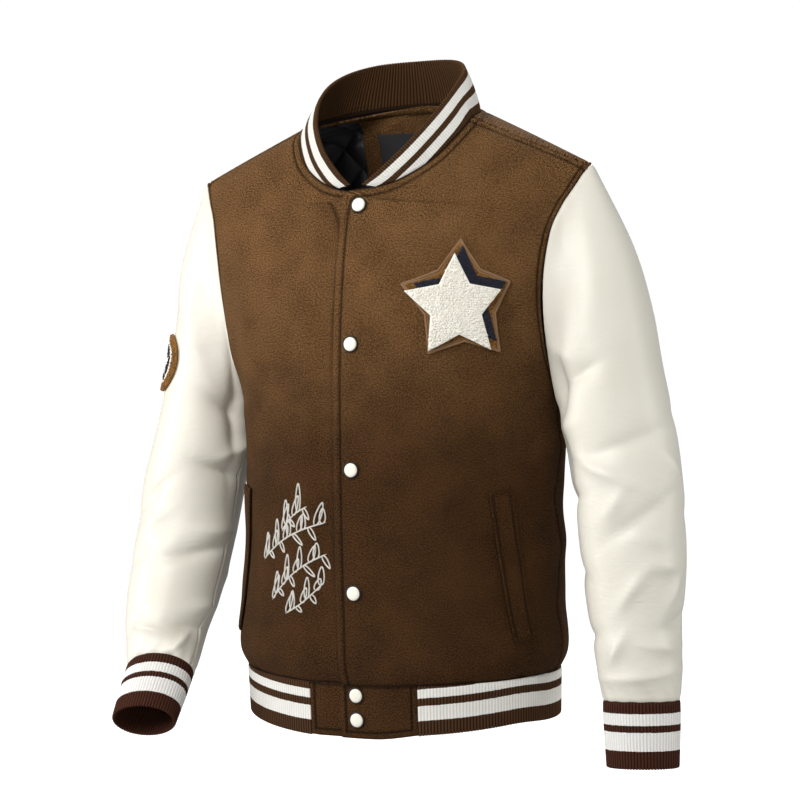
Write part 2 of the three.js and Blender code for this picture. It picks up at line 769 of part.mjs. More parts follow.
// A sheet of even thickness laid on a surface, over a grid of local places
function laidSheet(surface, rows, columns, place, lift, thick) {
  const at = (height) => grid(rows, columns, (a, v) => {
    const [u, w] = place(a, v);
    return surface(u, w).addScaledVector(normalOf(surface, u, w), height);
  });
  return wall(at(lift + thick), at(lift));
}

// Local mm on a front: to the side and up from a place, as the panel's u and row
function onFront(side, across, up) {
  const surface = frontSurface(side);
  const u = across / PANEL_ARC;
  return [u, rowAtHeight(surface, u, up)];
}

function addWelt(name, side) {
  const c = Math.cos(WELT.slant * DEGREE);
  const s = Math.sin(WELT.slant * DEGREE);
  const place = (a, v) => {
    const x = (a - 0.5) * WELT.width * side;
    const y = (v - 0.5) * WELT.length;
    return onFront(side, WELT.across + y * c + x * s, WELT.up + y * s - x * c);
  };
  const surface = side > 0 ? frontSurface(1) : frontSurface(-1);
  const sheet = laidSheet(surface, 8, 2, place, side * WELT.gap, side * WELT.thick);
  add(name, sheet, brownWool());
}

// A pad on a surface: rings of points out to an outline, closed at the middle on both faces
function pad(point, outline, turns, rings, low, high) {
  const body = newBody();
  const faces = [low, high].map((height) => {
    const middle = body.points.push(point(0, 0, height)) - 1;
    const rows = [];
    for (let r = 1; r <= rings; r += 1) {
      const row = [];
      for (let k = 0; k < turns; k += 1) {
        const angle = k * 2 * Math.PI / turns;
        const radius = outline(angle) * r / rings;
        row.push(body.points.push(
          point(radius * Math.cos(angle), radius * Math.sin(angle), height)) - 1);
      }
      rows.push([...row, row[0]]);
    }
    return { middle, rows };
  });
  const [under, over] = faces;
  for (let k = 0; k < turns; k += 1) {
    body.faces.push([over.middle, over.rows[0][k], over.rows[0][k + 1]]);
    body.faces.push([under.middle, under.rows[0][k + 1], under.rows[0][k]]);
  }
  for (let r = 0; r + 1 < rings; r += 1) {
    join(body, over.rows[r + 1], over.rows[r]);
    join(body, under.rows[r], under.rows[r + 1]);
  }
  join(body, under.rows[rings - 1], over.rows[rings - 1]);
  return body;
}

// Distance from a star's middle to its outline at an angle
function starRadius(angle, radius) {
  const half = Math.PI / STAR.points;
  const a = ((angle - STAR.turn * DEGREE) % (2 * half) + 2 * half) % (2 * half);
  const t = Math.min(a, 2 * half - a);
  const inner = radius * STAR.hollow;
  const x = inner * Math.cos(half);
  const y = inner * Math.sin(half);
  return (radius * y) / (y * Math.cos(t) + (radius - x) * Math.sin(t));
}

function addPatch() {
  const surface = frontSurface(1);
  const u = STAR.across / PANEL_ARC;
  const middle = rowAtHeight(surface, u, STAR.up);
  const step = 0.02;
  const perU = surface(u + step, middle).distanceTo(surface(u - step, middle)) / (2 * step);
  const point = (x, y, height) => {
    const across = u + x / perU;
    const row = rowAtHeight(surface, across, STAR.up + y);
    return surface(across, row).addScaledVector(normalOf(surface, across, row), height);
  };
  const shifted = (x, y, h) => point(x + SHADOW_SHIFT, y + SHADOW_SHIFT, h);
  const star = (angle) => starRadius(angle, STAR.radius);
  const soft = (angle) => starRadius(angle, STAR.radius) * 0.9 + BACKING_MARGIN + 4;
  const half = (x, y, h) => point(x + SHADOW_SHIFT / 2, y + SHADOW_SHIFT / 2, h);
  const backing = PATCH_FIRST_GAP + 1.2;
  const shadow = backing + PATCH_GAP + 1.2;
  add('patch_backing', pad(half, soft, 20, 3, PATCH_FIRST_GAP, backing), finish(0x8a5a22, 0.95));
  add('patch_shadow', pad(shifted, star, 20, 3, backing + PATCH_GAP, shadow), finish(0x20202c, 0.95));
  add('patch_star', pad(point, star, 20, 3, shadow + PATCH_GAP, shadow + PATCH_GAP + 3),
    finish(0xf2ede0, 0.95));
}

function addSleevePatch() {
  const surface = sleeveSurface(ARM_RIGHT, FOLDS_SLEEVE_RIGHT, -1);
  const rowFor = (turn, z) => {
    let low = 0;
    let high = ARM_RIGHT.rows.length;
    for (let k = 0; k < 40; k += 1) {
      const middle = (low + high) / 2;
      if (surface(turn, middle).z > z) low = middle;
      else high = middle;
    }
    return (low + high) / 2;
  };
  const point = (x, y, height) => {
    const turn = (DISC.round + x) / SLEEVE_TURN;
    const row = rowFor(turn, DISC.up + y);
    return surface(turn, row).addScaledVector(normalOf(surface, turn, row), height);
  };
  add('sleeve_patch', pad(point, () => DISC.radius, 20, 2, 1, 1 + DISC.thick), finish(0x8a5a22, 0.95));
}

// Snap caps on the centre line
function addSnaps() {
  const left = frontSurface(1);
  const tab = hemSurface();
  SNAP_HEIGHTS.forEach((z, k) => {
    const seam = FRONT.rows[0][0];
    const onTab = z < seam;
    const v = onTab ? (z - HEM_BOTTOM) / (seam - HEM_BOTTOM) : rowAtHeight(left, 0.001, z);
    const seat = onTab ? tab(0.001, v) : left(0.001, v);
    const normal = onTab ? normalOf(tab, 0.001, v) : normalOf(left, 0.001, v);
    const profile = SNAP_PROFILE.map(([r, h]) => new THREE.Vector2(r, h));
    const mesh = new THREE.Mesh(new THREE.LatheGeometry(profile, 12), creamCap());
    mesh.name = `snap_${k + 1}`;
    mesh.quaternion.setFromUnitVectors(new THREE.Vector3(0, 1, 0), normal);
    mesh.position.copy(seat).addScaledVector(normal, SEAM + 0.1);
    jacket.add(mesh);
  });
}

// A point inside the back at a mesh column (from the centre or neckline), row and depth
function insideBack(side, column, row, depth) {
  const half = (u, at) => backSurface(u, at, side);
  const u = side * 2 * column / BACK_COLUMNS;
  const normal = normalOf(half, u, panelRow(row));
  if (column === 0 && row <= NECK_INDEX) normal.x = 0;
  return half(u, panelRow(row)).addScaledVector(normal.normalize(), depth);
}

// A sheet inside the back in two halves that share the centre up to the neck; near says whether the
// face towards the back is built as the outer one, which turns the quads' diagonals
function sheetInside({ low, high, span, depth, thick }, near) {
  const body = newBody();
  const neck = NECK_INDEX - low;
  for (const side of [1, -1]) {
    const column = (a) => Math.round(span * (side > 0 ? 1 - a : a));
    const face = (deep) => grid(high - low, span, (a, _, i) => (
      insideBack(side, column(a), low + i, deep)
    ));
    const [under, over] = [face(depth), face(depth + thick)];
    const rims = { left: side > 0 ? 0 : neck, right: side > 0 ? neck : 0 };
    wallInto(body, near ? under : over, near ? over : under, rims);
  }
  return body;
}

// The sheets inside the back: lining, facing and label, each behind the last
function addInside() {
  add('lining', sheetInside(LINING_SHEET, false), blackSatin());
  add('facing_back_neck', sheetInside(FACING, true), brownWool());
  const corner = (column, row, depth) => insideBack(column < 0 ? -1 : 1, Math.abs(column), row, depth);
  const face = (depth) => grid(2, 4, (a, v) => {
    const column = LABEL.span * (1 - 2 * a);
    const near = Math.trunc(column);
    const next = near + (Math.sign(column) || 1);
    const ends = [FACING.low, NECK_INDEX].map((row) => (
      corner(near, row, depth).lerp(corner(next, row, depth), Math.abs(column - near))
    ));
    return ends[0].lerp(ends[1], LABEL.low + (LABEL.high - LABEL.low) * v);
  });
  add('label', wall(face(LABEL.depth + LABEL.thick), face(LABEL.depth)), blackSatin());
}

addFront('front_left', 1);
addFront('front_right', -1);
addBack();
addSleeve('sleeve_left', ARM_LEFT, FOLDS_SLEEVE_LEFT, 1);
addSleeve('sleeve_right', ARM_RIGHT, FOLDS_SLEEVE_RIGHT, -1);
addCollar();
addCuff('cuff_left', ARM_LEFT, 1);
addCuff('cuff_right', ARM_RIGHT, -1);
addHem();
addTab('hem_tab_left', -TAB_LAP, TAB_LEFT, () => 0);
addTab('hem_tab_right', -TAB_RIGHT, LAP, (p) => UNDER_DEPTH * fade(Math.abs(p.x), UNDER_FLAT, UNDER_END));
addWelt('welt_left', 1);
addWelt('welt_right', -1);
addSnaps();
addPatch();
addSleevePatch();
addInside();

export default jacket;
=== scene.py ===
import math
import bmesh
import bpy
import numpy as np
from mathutils import Matrix


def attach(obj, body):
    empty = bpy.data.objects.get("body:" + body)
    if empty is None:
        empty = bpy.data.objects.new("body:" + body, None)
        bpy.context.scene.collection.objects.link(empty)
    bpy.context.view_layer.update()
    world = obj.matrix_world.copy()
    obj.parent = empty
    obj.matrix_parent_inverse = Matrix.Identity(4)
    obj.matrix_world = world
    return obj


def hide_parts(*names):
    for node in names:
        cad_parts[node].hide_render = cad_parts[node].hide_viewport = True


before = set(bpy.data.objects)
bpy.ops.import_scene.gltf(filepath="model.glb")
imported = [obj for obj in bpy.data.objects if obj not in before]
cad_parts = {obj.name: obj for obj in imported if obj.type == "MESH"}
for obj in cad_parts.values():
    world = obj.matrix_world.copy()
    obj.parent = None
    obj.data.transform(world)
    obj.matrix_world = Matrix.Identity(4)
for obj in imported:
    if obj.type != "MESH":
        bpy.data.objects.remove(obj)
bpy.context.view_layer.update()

# Wool fronts: two panels of heavy brown melton, cut with a straight front edge, slanted shoulders and a
# deep armhole. They are faced and lined, topstitched 8 mm inside the front edge and 5 mm beside the
# armhole. Lengths in this file are millimetres; the meshes are made in metres.
MM = 0.001
WOOL = 2.2
SEAM = 0.3
LAP = 15
UNDER_DEPTH = WOOL + 1.4
UNDER_FLAT, UNDER_END = 24, 50
SQUARE = 0.92
PANEL_ARC = 205
RIGHT_FLARE, FLARE_TOP, FLARE_BOTTOM = 0.08, -430, -590
UNDERARM_ROW, NECK_ROW, SHOULDER_ROW = 5, 9, 13
NECK_SHOULDER, NECK_BAND = 0.45, 8
# Level sections from the hem to the shoulder seam: z, x and y at the inner and outer edge, and the
# wrap in degrees
FRONT = np.array([
    # z_in z_out x_in x_out y_in y_out wrap
    (-592, -586, 0, 172, -119, 8, 88),
    (-568, -562, 0, 181, -127, 8, 88),
    (-510, -510, 0, 179, -128, 8, 88),
    (-440, -440, 0, 179, -128, 8, 88),
    (-370, -370, 0, 181, -127, 8, 88),
    (-300, -300, 0, 182, -125, 8, 88),
    (-235, -245, 0, 187, -121, -32, 80),
    (-170, -185, 0, 190, -112, -48, 70),
    (-115, -130, 0, 198, -100, -46, 60),
    (-74, -98, 0, 208, -88, -34, 56),
    (-68, -80, 40, 217, -80, -24, 50),
    (-46, -68, 75, 223, -60, -17, 46),
    (-17, -60, 96, 228, -34, -11, 40),
    (0, -57, 99, 230, -10, -6, 30),
], float)
BACK = np.array([
    (-586, -586, 0, 172, 119, 8.6, 88),
    (-562, -562, 0, 181, 126, 8.6, 88),
    (-510, -510, 0, 179, 126, 8.6, 88),
    (-440, -440, 0, 179, 124, 8.6, 88),
    (-370, -370, 0, 181, 123, 8.6, 88),
    (-300, -300, 0, 182, 122, 8.6, 88),
    (-225, -240, 0, 184, 122, 52, 78),
    (-145, -175, 0, 189, 117, 62, 68),
    (-70, -118, 0, 199, 104, 56, 60),
    (22, -80, 0, 212, 86, 40, 56),
    (20, -66, 44, 220, 77, 26, 50),
    (14, -58, 76, 225, 52, 12, 46),
    (7, -55, 94, 229, 21, 2, 40),
    (0, -57, 99, 230, -9.4, -5.4, 30),
], float)
# Folds: across (mm round the body from the front centre), up, slant in degrees, half length, half width,
# rise (a trough below 0)
FOLDS_LEFT = [
    (100, -262, -12, 60, 22, -3),
    (160, -215, 88, 70, 18, -4),
    (57, -325, 88, 55, 20, -2.5),
    (196, -350, 14, 44, 16, 4),
    (190, -400, -12, 46, 17, -4.5),
    (200, -455, 12, 46, 18, 4),
    (192, -515, -10, 42, 17, -3.5),
    (150, -584, 90, 14, 7, -3),
    (92, -584, 84, 12, 8, -1.6),
]
FOLDS_RIGHT = [
    (185, -345, -20, 44, 15, -3.5),
    (150, -225, 82, 70, 18, -3),
    (120, -365, 14, 50, 20, -2.5),
    (200, -430, 12, 40, 18, -2.5),
    (200, -500, -12, 42, 18, 3),
    (28, -545, 70, 34, 12, -2),
    (110, -584, 88, 14, 8, -2),
]


def read(rows, at):
    """A Catmull-Rom curve through the rows at fractional row numbers, one array for each column."""
    last = len(rows) - 1
    i = np.clip(np.floor(at).astype(int), 0, last - 1)
    f = (at - i)[..., None]
    b, c = rows[i], rows[i + 1]
    a = np.where((i > 0)[..., None], rows[np.maximum(i - 1, 0)], 2 * b - c)
    d = np.where((i < last - 1)[..., None], rows[np.minimum(i + 2, last)], 2 * c - b)
    bend = f * ((2 * a - 5 * b + 4 * c - d) + f * (3 * b - 3 * c + d - a))
    return np.moveaxis(b + 0.5 * f * ((c - a) + bend), -1, 0)


def fade(value, start, end):
    """1 below start, 0 above end, and a smooth step between."""
    t = np.clip((end - value) / (end - start), 0, 1)
    return t * t * (3 - 2 * t)


def relief(table, across, up, turn=0, crisp=0.0):
    """The sum of the folds' heights. Each is a bell along its length and, across it, a bell or, where
    crisp is more than 0, a peak with a small round top, as stiff coated cloth creases."""
    total = np.zeros(np.broadcast(across, up).shape)
    for middle, height, slant, reach, width, rise in table:
        away = across - middle
        if turn:
            away = away - turn * np.round(away / turn)
        c, s = math.cos(math.radians(slant)), math.sin(math.radians(slant))
        z = up - height
        along = (away * c + z * s) / reach
        over = (z * c - away * s) / width
        bell = np.exp(-over ** 2)
        peak = np.exp(1.75 * (0.25 - np.sqrt(over ** 2 + 0.0625)))
        total += rise * np.exp(-along ** 2) * (bell + crisp * (peak - bell))
    return total


def normals(form, u, v):
    """Unit normals: the cross product of the form's two tangents, each taken over a small step."""
    step = 1e-3
    n = np.cross(form(u + step, v) - form(u - step, v), form(u, v + step) - form(u, v - step))
    return n / np.linalg.norm(n, axis=-1, keepdims=True)


def panel_half(panel, u, at):
    """A level section is a squared-off ellipse: sine and cosine of the wrap angle, each to a power a
    little under 1, stretched between the inner and outer edge of its row."""
    u, at = np.broadcast_arrays(np.asarray(u, float), np.asarray(at, float))
    z_in, z_out, x_in, x_out, y_in, y_out, wrap = read(panel, at)
    past = at > NECK_ROW
    mirrored = panel[NECK_ROW + 1].copy()
    mirrored[2] *= -1
    neck = read(np.vstack([mirrored, panel[NECK_ROW:]]), np.maximum(at - NECK_ROW + 1, 1))
    start = past & (at < NECK_ROW + 1)
    z_in = np.where(start, neck[0], z_in)
    x_in = np.where(start, neck[2], np.where(past, x_in, 0))
    y_in = np.where(start, neck[4], y_in)
    y_out = np.where(at < UNDERARM_ROW, panel[UNDERARM_ROW][5], y_out)
    full = np.radians(wrap)
    phi = np.abs(u) * full
    out = (np.sin(phi) / np.sin(full)) ** SQUARE * np.sign(u)
    flat = np.cos(full) ** SQUARE
    ahead = (np.maximum(np.cos(phi), 0) ** SQUARE - flat) / (1 - flat)
    x = x_in + (x_out - x_in) * out
    y = y_out + (y_in - y_out) * ahead
    z = z_in + (z_out - z_in) * np.where(past, out, np.abs(out))
    return np.stack([x, y, z], -1)


def on_side(points, side):
    """The left half's points taken to a side, the right one a little wider towards the hem."""
    flare = RIGHT_FLARE * fade(points[..., 2], FLARE_BOTTOM, FLARE_TOP)
    x = points[..., 0] * (1 if side > 0 else -1 - flare)
    return np.stack([x, points[..., 1], points[..., 2]], -1)


def front_form(side):
    """The front's surface: the section moved out along its normal by the folds, and in where the
    right front runs under the left one."""
    table = FOLDS_LEFT if side > 0 else FOLDS_RIGHT

    def plain(u, at):
        return on_side(panel_half(FRONT, u, at), side)

    def form(u, at):
        point = panel_half(FRONT, u, at)
        under = 0 if side > 0 else UNDER_DEPTH * fade(np.abs(point[..., 0]), UNDER_FLAT, UNDER_END)
        lift = relief(table, u * PANEL_ARC, point[..., 2]) - under
        return plain(u, at) + normals(plain, u, at) * (side * lift)[..., None]

    form.plain = plain
    return form


def lap_share(at):
    """How far the front reaches past the centre, as a share of its arc; none above the neck corner."""
    x_out, wrap = read(FRONT, at)[[3, 6]]
    full = np.radians(wrap)
    share = -np.arcsin(np.sin(full) * (LAP / x_out) ** (1 / SQUARE)) / full
    return np.where(at > NECK_ROW + 1e-9, 0, share)


def spaced(length, near=12, fine=0.8, coarse=3.2):
    """Shares of a length from 0 to 1: fine steps near both ends and coarse ones between."""
    ends = np.arange(0, near, fine)
    middle = np.linspace(near, length - near, int((length - 2 * near) / coarse) + 1)
    return np.concatenate([ends, middle, (length - ends)[::-1]]) / length


def path_length(points, axis):
    """Distances along one direction of a grid of points, summed from its start."""
    steps = np.linalg.norm(np.diff(points, axis=axis), axis=-1)
    start = np.zeros_like(np.take(steps, [0], axis=axis))
    return np.concatenate([start, np.cumsum(steps, axis=axis)], axis=axis)


def seam_dip(distance, depth=1.8, width=2.2):
    """Cloth turning in at a seam: a half bell below the surface."""
    return -depth * np.exp(-(distance / width) ** 2)


def stitch_groove(distance, at, depth=0.9, width=1.2, puff=0.6):
    """A row of topstitching: a narrow groove, and a slight puff between it and the edge."""
    groove = -depth * np.exp(-((distance - at) / width) ** 2)
    return groove + puff * np.exp(-((distance - at / 2) / (at / 3)) ** 2)


def groove_shade_bell(distance, at=0.0, width=1.4):
    """Painted shade in a seam or a groove, from 0 to 1: a bell across the line."""
    return np.exp(-((distance - at) / width) ** 2)


def distance_to(points, curve):
    """Each point's distance to the nearest of a curve's points."""
    near = np.full(points.shape[:-1], 1e9)
    for spot in curve:
        near = np.minimum(near, ((points - spot) ** 2).sum(-1))
    return np.sqrt(near)


def neckline(place):
    """The neck edge by place: 0 at the back, 0.45 at the shoulder seam and 1 at the front centre."""
    n = np.abs(place)
    rise = SHOULDER_ROW - NECK_ROW
    zero = np.zeros_like(n)
    behind = panel_half(BACK, zero, NECK_ROW + rise * np.minimum(n, NECK_SHOULDER) / NECK_SHOULDER)
    down = (np.maximum(n, NECK_SHOULDER) - NECK_SHOULDER) / (1 - NECK_SHOULDER)
    before = panel_half(FRONT, zero, SHOULDER_ROW - rise * down)
    return np.where((n < NECK_SHOULDER)[..., None], behind, before)


def rims(outer, inner, uv, sides, painted_shade=0.0):
    """Strips that close a wall: between its two faces along the named sides, bulging half round, with a given
    even amount of painted shade.
    """
    blocks = []
    share = np.linspace(0, 1, 5)[:, None, None]
    for side in sides:
        take = {"low": np.s_[0], "high": np.s_[-1], "left": np.s_[:, 0], "right": np.s_[:, -1]}[side]
        before = {"low": np.s_[1], "high": np.s_[-2], "left": np.s_[:, 1], "right": np.s_[:, -2]}[side]
        a, b = outer[take], inner[take]
        away = a - outer[before]
        away /= np.maximum(np.linalg.norm(away, axis=-1, keepdims=True), 1e-9)
        bulge = np.linalg.norm(a - b, axis=-1, keepdims=True) * 0.4
        strip = a + (b - a) * share + away * bulge * np.sin(math.pi * share)
        blocks.append((strip, np.broadcast_to(uv[take], (5,) + uv[take].shape), 0, painted_shade))
    return blocks


def mesh_piece(name, blocks, materials, node=None):
    """One mesh from grids of points, each given as points, texture lengths in mm, material number and,
    where it has seams, grooves or edges, how much painted shade each point takes from 0 to 1, kept in the
    seam attribute. Points that fall together become one, the faces are turned outwards and shaded smooth."""
    points, faces, coords, numbers, painted_shades = [], [], [], [], []
    start = 0
    for grid, uv, number, *painted_shade in blocks:
        painted_shades.append(np.broadcast_to(painted_shade[0] if painted_shade else 0.0, grid.shape[:-1]).ravel())
        index = start + np.arange(grid[..., 0].size).reshape(grid.shape[:-1])
        face = np.stack([
            index[..., :-1, :-1], index[..., :-1, 1:], index[..., 1:, 1:], index[..., 1:, :-1],
        ], -1).reshape(-1, 4)
        points.append(grid.reshape(-1, 3))
        coords.append(np.broadcast_to(uv, grid.shape[:-1] + (2,)).reshape(-1, 2))
        faces.append(face)
        numbers.append(np.full(len(face), number))
        start += index.size
    points, coords, faces = np.concatenate(points), np.concatenate(coords), np.concatenate(faces)
    painted_shades = np.concatenate(painted_shades)
    _, first, same = np.unique(np.round(points * 500).astype(np.int64), axis=0,
                               return_index=True, return_inverse=True)
    corner = same.ravel()[faces]
    kept = corner != np.roll(corner, 1, axis=1)
    count = kept.sum(1)
    whole = count > 2
    mesh = bpy.data.meshes.new(name)
    mesh.vertices.add(len(first))
    mesh.vertices.foreach_set("co", (points[first] * MM).astype(np.float32).ravel())
    loops = corner[whole][kept[whole]]
    mesh.loops.add(len(loops))
    mesh.loops.foreach_set("vertex_index", loops.astype(np.int32))
    mesh.polygons.add(int(whole.sum()))
    starts = np.concatenate([[0], np.cumsum(count[whole])[:-1]])
    mesh.polygons.foreach_set("loop_start", starts.astype(np.int32))
    mesh.polygons.foreach_set("material_index", np.concatenate(numbers)[whole].astype(np.int32))
    layer = mesh.uv_layers.new(name="cloth")
    layer.uv.foreach_set("vector", (coords[faces[whole][kept[whole]]] * MM).astype(np.float32).ravel())
    painted_shade_layer = mesh.attributes.new("seam", "FLOAT", "CORNER")
    painted_shade_layer.data.foreach_set("value", painted_shades[faces[whole][kept[whole]]].astype(np.float32))
    mesh.validate()
    tidy = bmesh.new()
    tidy.from_mesh(mesh)
    bmesh.ops.recalc_face_normals(tidy, faces=tidy.faces)
    tidy.to_mesh(mesh)
    tidy.free()
    mesh.polygons.foreach_set("use_smooth", np.ones(len(mesh.polygons), bool))
    mesh.update()
    for material in materials:
        mesh.materials.append(material)
    piece = bpy.data.objects.new(name, mesh)
    bpy.context.scene.collection.objects.link(piece)
    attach(piece, "root")
    if node:
        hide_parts(*node)
    return piece


def part(tree, kind, inputs=None, **settings):
    """A shader node with its settings, and its inputs filled or linked by name or number."""
    made = tree.nodes.new(kind)
    for key, value in settings.items():
        setattr(made, key, value)
    for key, value in (inputs or {}).items():
        if isinstance(value, bpy.types.NodeSocket):
            tree.links.new(value, made.inputs[key])
        else:
            made.inputs[key].default_value = value
    return made


def calc(tree, operation, *values, clamp=False):
    """The output of a Math node over the given numbers and sockets."""
    made = part(tree, "ShaderNodeMath", dict(enumerate(values)), operation=operation)
    made.use_clamp = clamp
    return made.outputs[0]


def noise(tree, vector, scale, detail=3.0, roughness=0.55, distortion=0.0):
    """The value of a noise texture with cells of about 1 / scale metres."""
    return part(tree, "ShaderNodeTexNoise", {
        "Vector": vector, "Scale": scale, "Detail": detail, "Roughness": roughness,
        "Distortion": distortion,
    }).outputs["Fac"]


def colour(hexa):
    """A hex colour as linear red, green, blue and alpha."""
    parts = [int(hexa[i:i + 2], 16) / 255 for i in (0, 2, 4)]
    return [(c / 12.92 if c < 0.04045 else ((c + 0.055) / 1.055) ** 2.4) for c in parts] + [1.0]


def blend_colours(tree, share, low, high):
    """Two colours, or colour sockets, mixed by a share."""
    made = part(tree, "ShaderNodeMix", data_type="RGBA")
    for key, value in ((0, share), (6, low), (7, high)):
        if isinstance(value, bpy.types.NodeSocket):
            tree.links.new(value, made.inputs[key])
        else:
            made.inputs[key].default_value = value
    return made.outputs[2]


def effect(name, outputs, **inputs):
    """A node group with the given input and output sockets, its input node and its output node."""
    group = bpy.data.node_groups.new(name, "ShaderNodeTree")
    for key, kind in inputs.items():
        group.interface.new_socket(key, in_out="INPUT", socket_type=kind)
    for key in outputs:
        group.interface.new_socket(key, in_out="OUTPUT", socket_type="NodeSocketFloat")
    return group, group.nodes.new("NodeGroupInput"), group.nodes.new("NodeGroupOutput")


def finish_of(name, roughness, build, **constants):
    """A material: build(tree) gives the base colour, the height and how deep it is in metres, and the
    constants are set on the shader's own sockets."""
    material = bpy.data.materials.new(name)
    material.use_nodes = True
    tree = material.node_tree
    shader = next(n for n in tree.nodes if n.type == "BSDF_PRINCIPLED")
    base, height, depth = build(tree)
    if isinstance(base, bpy.types.NodeSocket):
        tree.links.new(base, shader.inputs["Base Color"])
    else:
        shader.inputs["Base Color"].default_value = base
    bump = part(tree, "ShaderNodeBump", {"Height": height, "Distance": depth, "Strength": 1.0})
    tree.links.new(bump.outputs["Normal"], shader.inputs["Normal"])
    if isinstance(roughness, float):
        shader.inputs["Roughness"].default_value = roughness
    for key, value in constants.items():
        shader.inputs[key.replace("_", " ")].default_value = value
    return material


# Melton: felted fibres over a fine diagonal twill, with flecks of lighter and darker wool
melton, entry, leave = effect("melton_fibres", ["Fleck", "Height"], Cloth="NodeSocketVector")
split = part(melton, "ShaderNodeSeparateXYZ", {0: entry.outputs["Cloth"]})
drift = noise(melton, entry.outputs["Cloth"], 260, 2.0)
slope = calc(melton, "ADD", split.outputs[0], split.outputs[1])
slope = calc(melton, "ADD", slope, calc(melton, "MULTIPLY", drift, 0.0016))
twill = calc(melton, "SINE", calc(melton, "MULTIPLY", slope, 2 * math.pi / 0.0021))
stretched = part(melton, "ShaderNodeMapping", {
    "Vector": entry.outputs["Cloth"], "Rotation": (0, 0, math.radians(45)), "Scale": (300, 1100, 1),
}).outputs[0]
hairs = noise(melton, stretched, 1.0, 4.0, 0.7)
fuzz = noise(melton, entry.outputs["Cloth"], 1500, 4.0, 0.7)
patches = noise(melton, entry.outputs["Cloth"], 22, 3.0)
mottle = noise(melton, entry.outputs["Cloth"], 760, 2.0, 0.7)
fleck = calc(melton, "ADD", calc(melton, "MULTIPLY", hairs, 0.3), calc(melton, "MULTIPLY", twill, 0.03))
fleck = calc(melton, "ADD", fleck, calc(melton, "MULTIPLY", mottle, 0.7))
fleck = calc(melton, "ADD", fleck, calc(melton, "MULTIPLY", patches, 0.12))
fleck = calc(melton, "SUBTRACT", fleck, 0.06, clamp=True)
height = calc(melton, "ADD", calc(melton, "MULTIPLY", twill, 0.25), calc(melton, "MULTIPLY", fuzz, 1.1))
height = calc(melton, "ADD", height, calc(melton, "MULTIPLY", hairs, 0.9))
melton.links.new(fleck, leave.inputs["Fleck"])
melton.links.new(height, leave.inputs["Height"])


def wool_look(tree):
    """Brown between a dark and a light fleck, by the melton's fibres. Painted shade makes the brown darker
    below the chest, and near-black brown in the seams, grooves and edges given by the seam attribute."""
    cloth = part(tree, "ShaderNodeUVMap", uv_map="cloth").outputs[0]
    fibres = part(tree, "ShaderNodeGroup", node_tree=melton)
    tree.links.new(cloth, fibres.inputs["Cloth"])
    ramp = part(tree, "ShaderNodeMapRange", {
        0: fibres.outputs["Fleck"], 1: 0.43, 2: 0.60, 3: 0.0, 4: 1.0,
    }).outputs[0]
    place = part(tree, "ShaderNodeTexCoord").outputs["Object"]
    up = part(tree, "ShaderNodeSeparateXYZ", {0: place}).outputs[2]
    # Painted shade: the brown darkens from 0.16 m to 0.40 m below the origin.
    painted_low_shade = part(tree, "ShaderNodeMapRange", {0: up, 1: -0.16, 2: -0.40, 3: 0.0, 4: 1.0},
                   interpolation_type="SMOOTHSTEP").outputs[0]
    dark = blend_colours(tree, painted_low_shade, colour("33200c"), colour("170c03"))
    light = blend_colours(tree, painted_low_shade, colour("8f6840"), colour("5e3e20"))
    seam = part(tree, "ShaderNodeAttribute", attribute_name="seam").outputs["Fac"]
    cloth_colour = blend_colours(tree, ramp, dark, light)
    # Painted shade: near-black brown by the seam attribute in seams, grooves, edges and under the welts.
    painted_seam_shade = calc(tree, "MULTIPLY", seam, 0.82)
    return blend_colours(tree, painted_seam_shade, cloth_colour, colour("100803")), fibres.outputs["Height"], 0.0007


wool = finish_of("brown_melton", 0.92, wool_look, Sheen_Weight=0.07, Sheen_Roughness=0.5,
                 Sheen_Tint=colour("a98a66"), Specular_IOR_Level=0.1)

# Inside the body: black satin quilted in diamonds, the inner face of every wool panel
QUILT = 44


def satin_look(tree):
    """Near-black satin: fine weft lines, and stitched lines along both diagonals, with painted shade along
    the stitched lines and a painted highlight on the puffs between them.
    """
    cloth = part(tree, "ShaderNodeUVMap", uv_map="cloth").outputs[0]
    split = part(tree, "ShaderNodeSeparateXYZ", {0: cloth})
    pitch = QUILT * MM
    total = None
    for operation in ("ADD", "SUBTRACT"):
        slope = calc(tree, operation, split.outputs[0], split.outputs[1])
        wave = calc(tree, "ABSOLUTE", calc(tree, "SINE", calc(tree, "MULTIPLY", slope, math.pi / pitch)))
        swell = calc(tree, "POWER", wave, 0.45)
        total = swell if total is None else calc(tree, "MULTIPLY", total, swell)
    crumple = noise(tree, cloth, 60, 3.0)
    weft = calc(tree, "SINE", calc(tree, "MULTIPLY", split.outputs[1], 2 * math.pi / 0.0006))
    height = calc(tree, "ADD", total, calc(tree, "MULTIPLY", crumple, 0.35))
    height = calc(tree, "ADD", height, calc(tree, "MULTIPLY", weft, 0.01))
    # Painted light: lighter on the quilted puffs, darker along the stitched lines.
    return blend_colours(tree, total, colour("111113"), colour("2e2d31")), height, 0.004


satin = finish_of("black_quilted_satin", 0.34, satin_look, Sheen_Weight=0.1, Specular_IOR_Level=0.45)


def eased(points, weight, passes):
    """Points of a grid drawn towards the mean of the row below and above, by a weight, a few times."""
    points = points.copy()
    for _ in range(passes):
        mean = (points[:-2] + points[2:]) / 2
        points[1:-1] += (mean - points[1:-1]) * weight[1:-1, :, None]
    return points


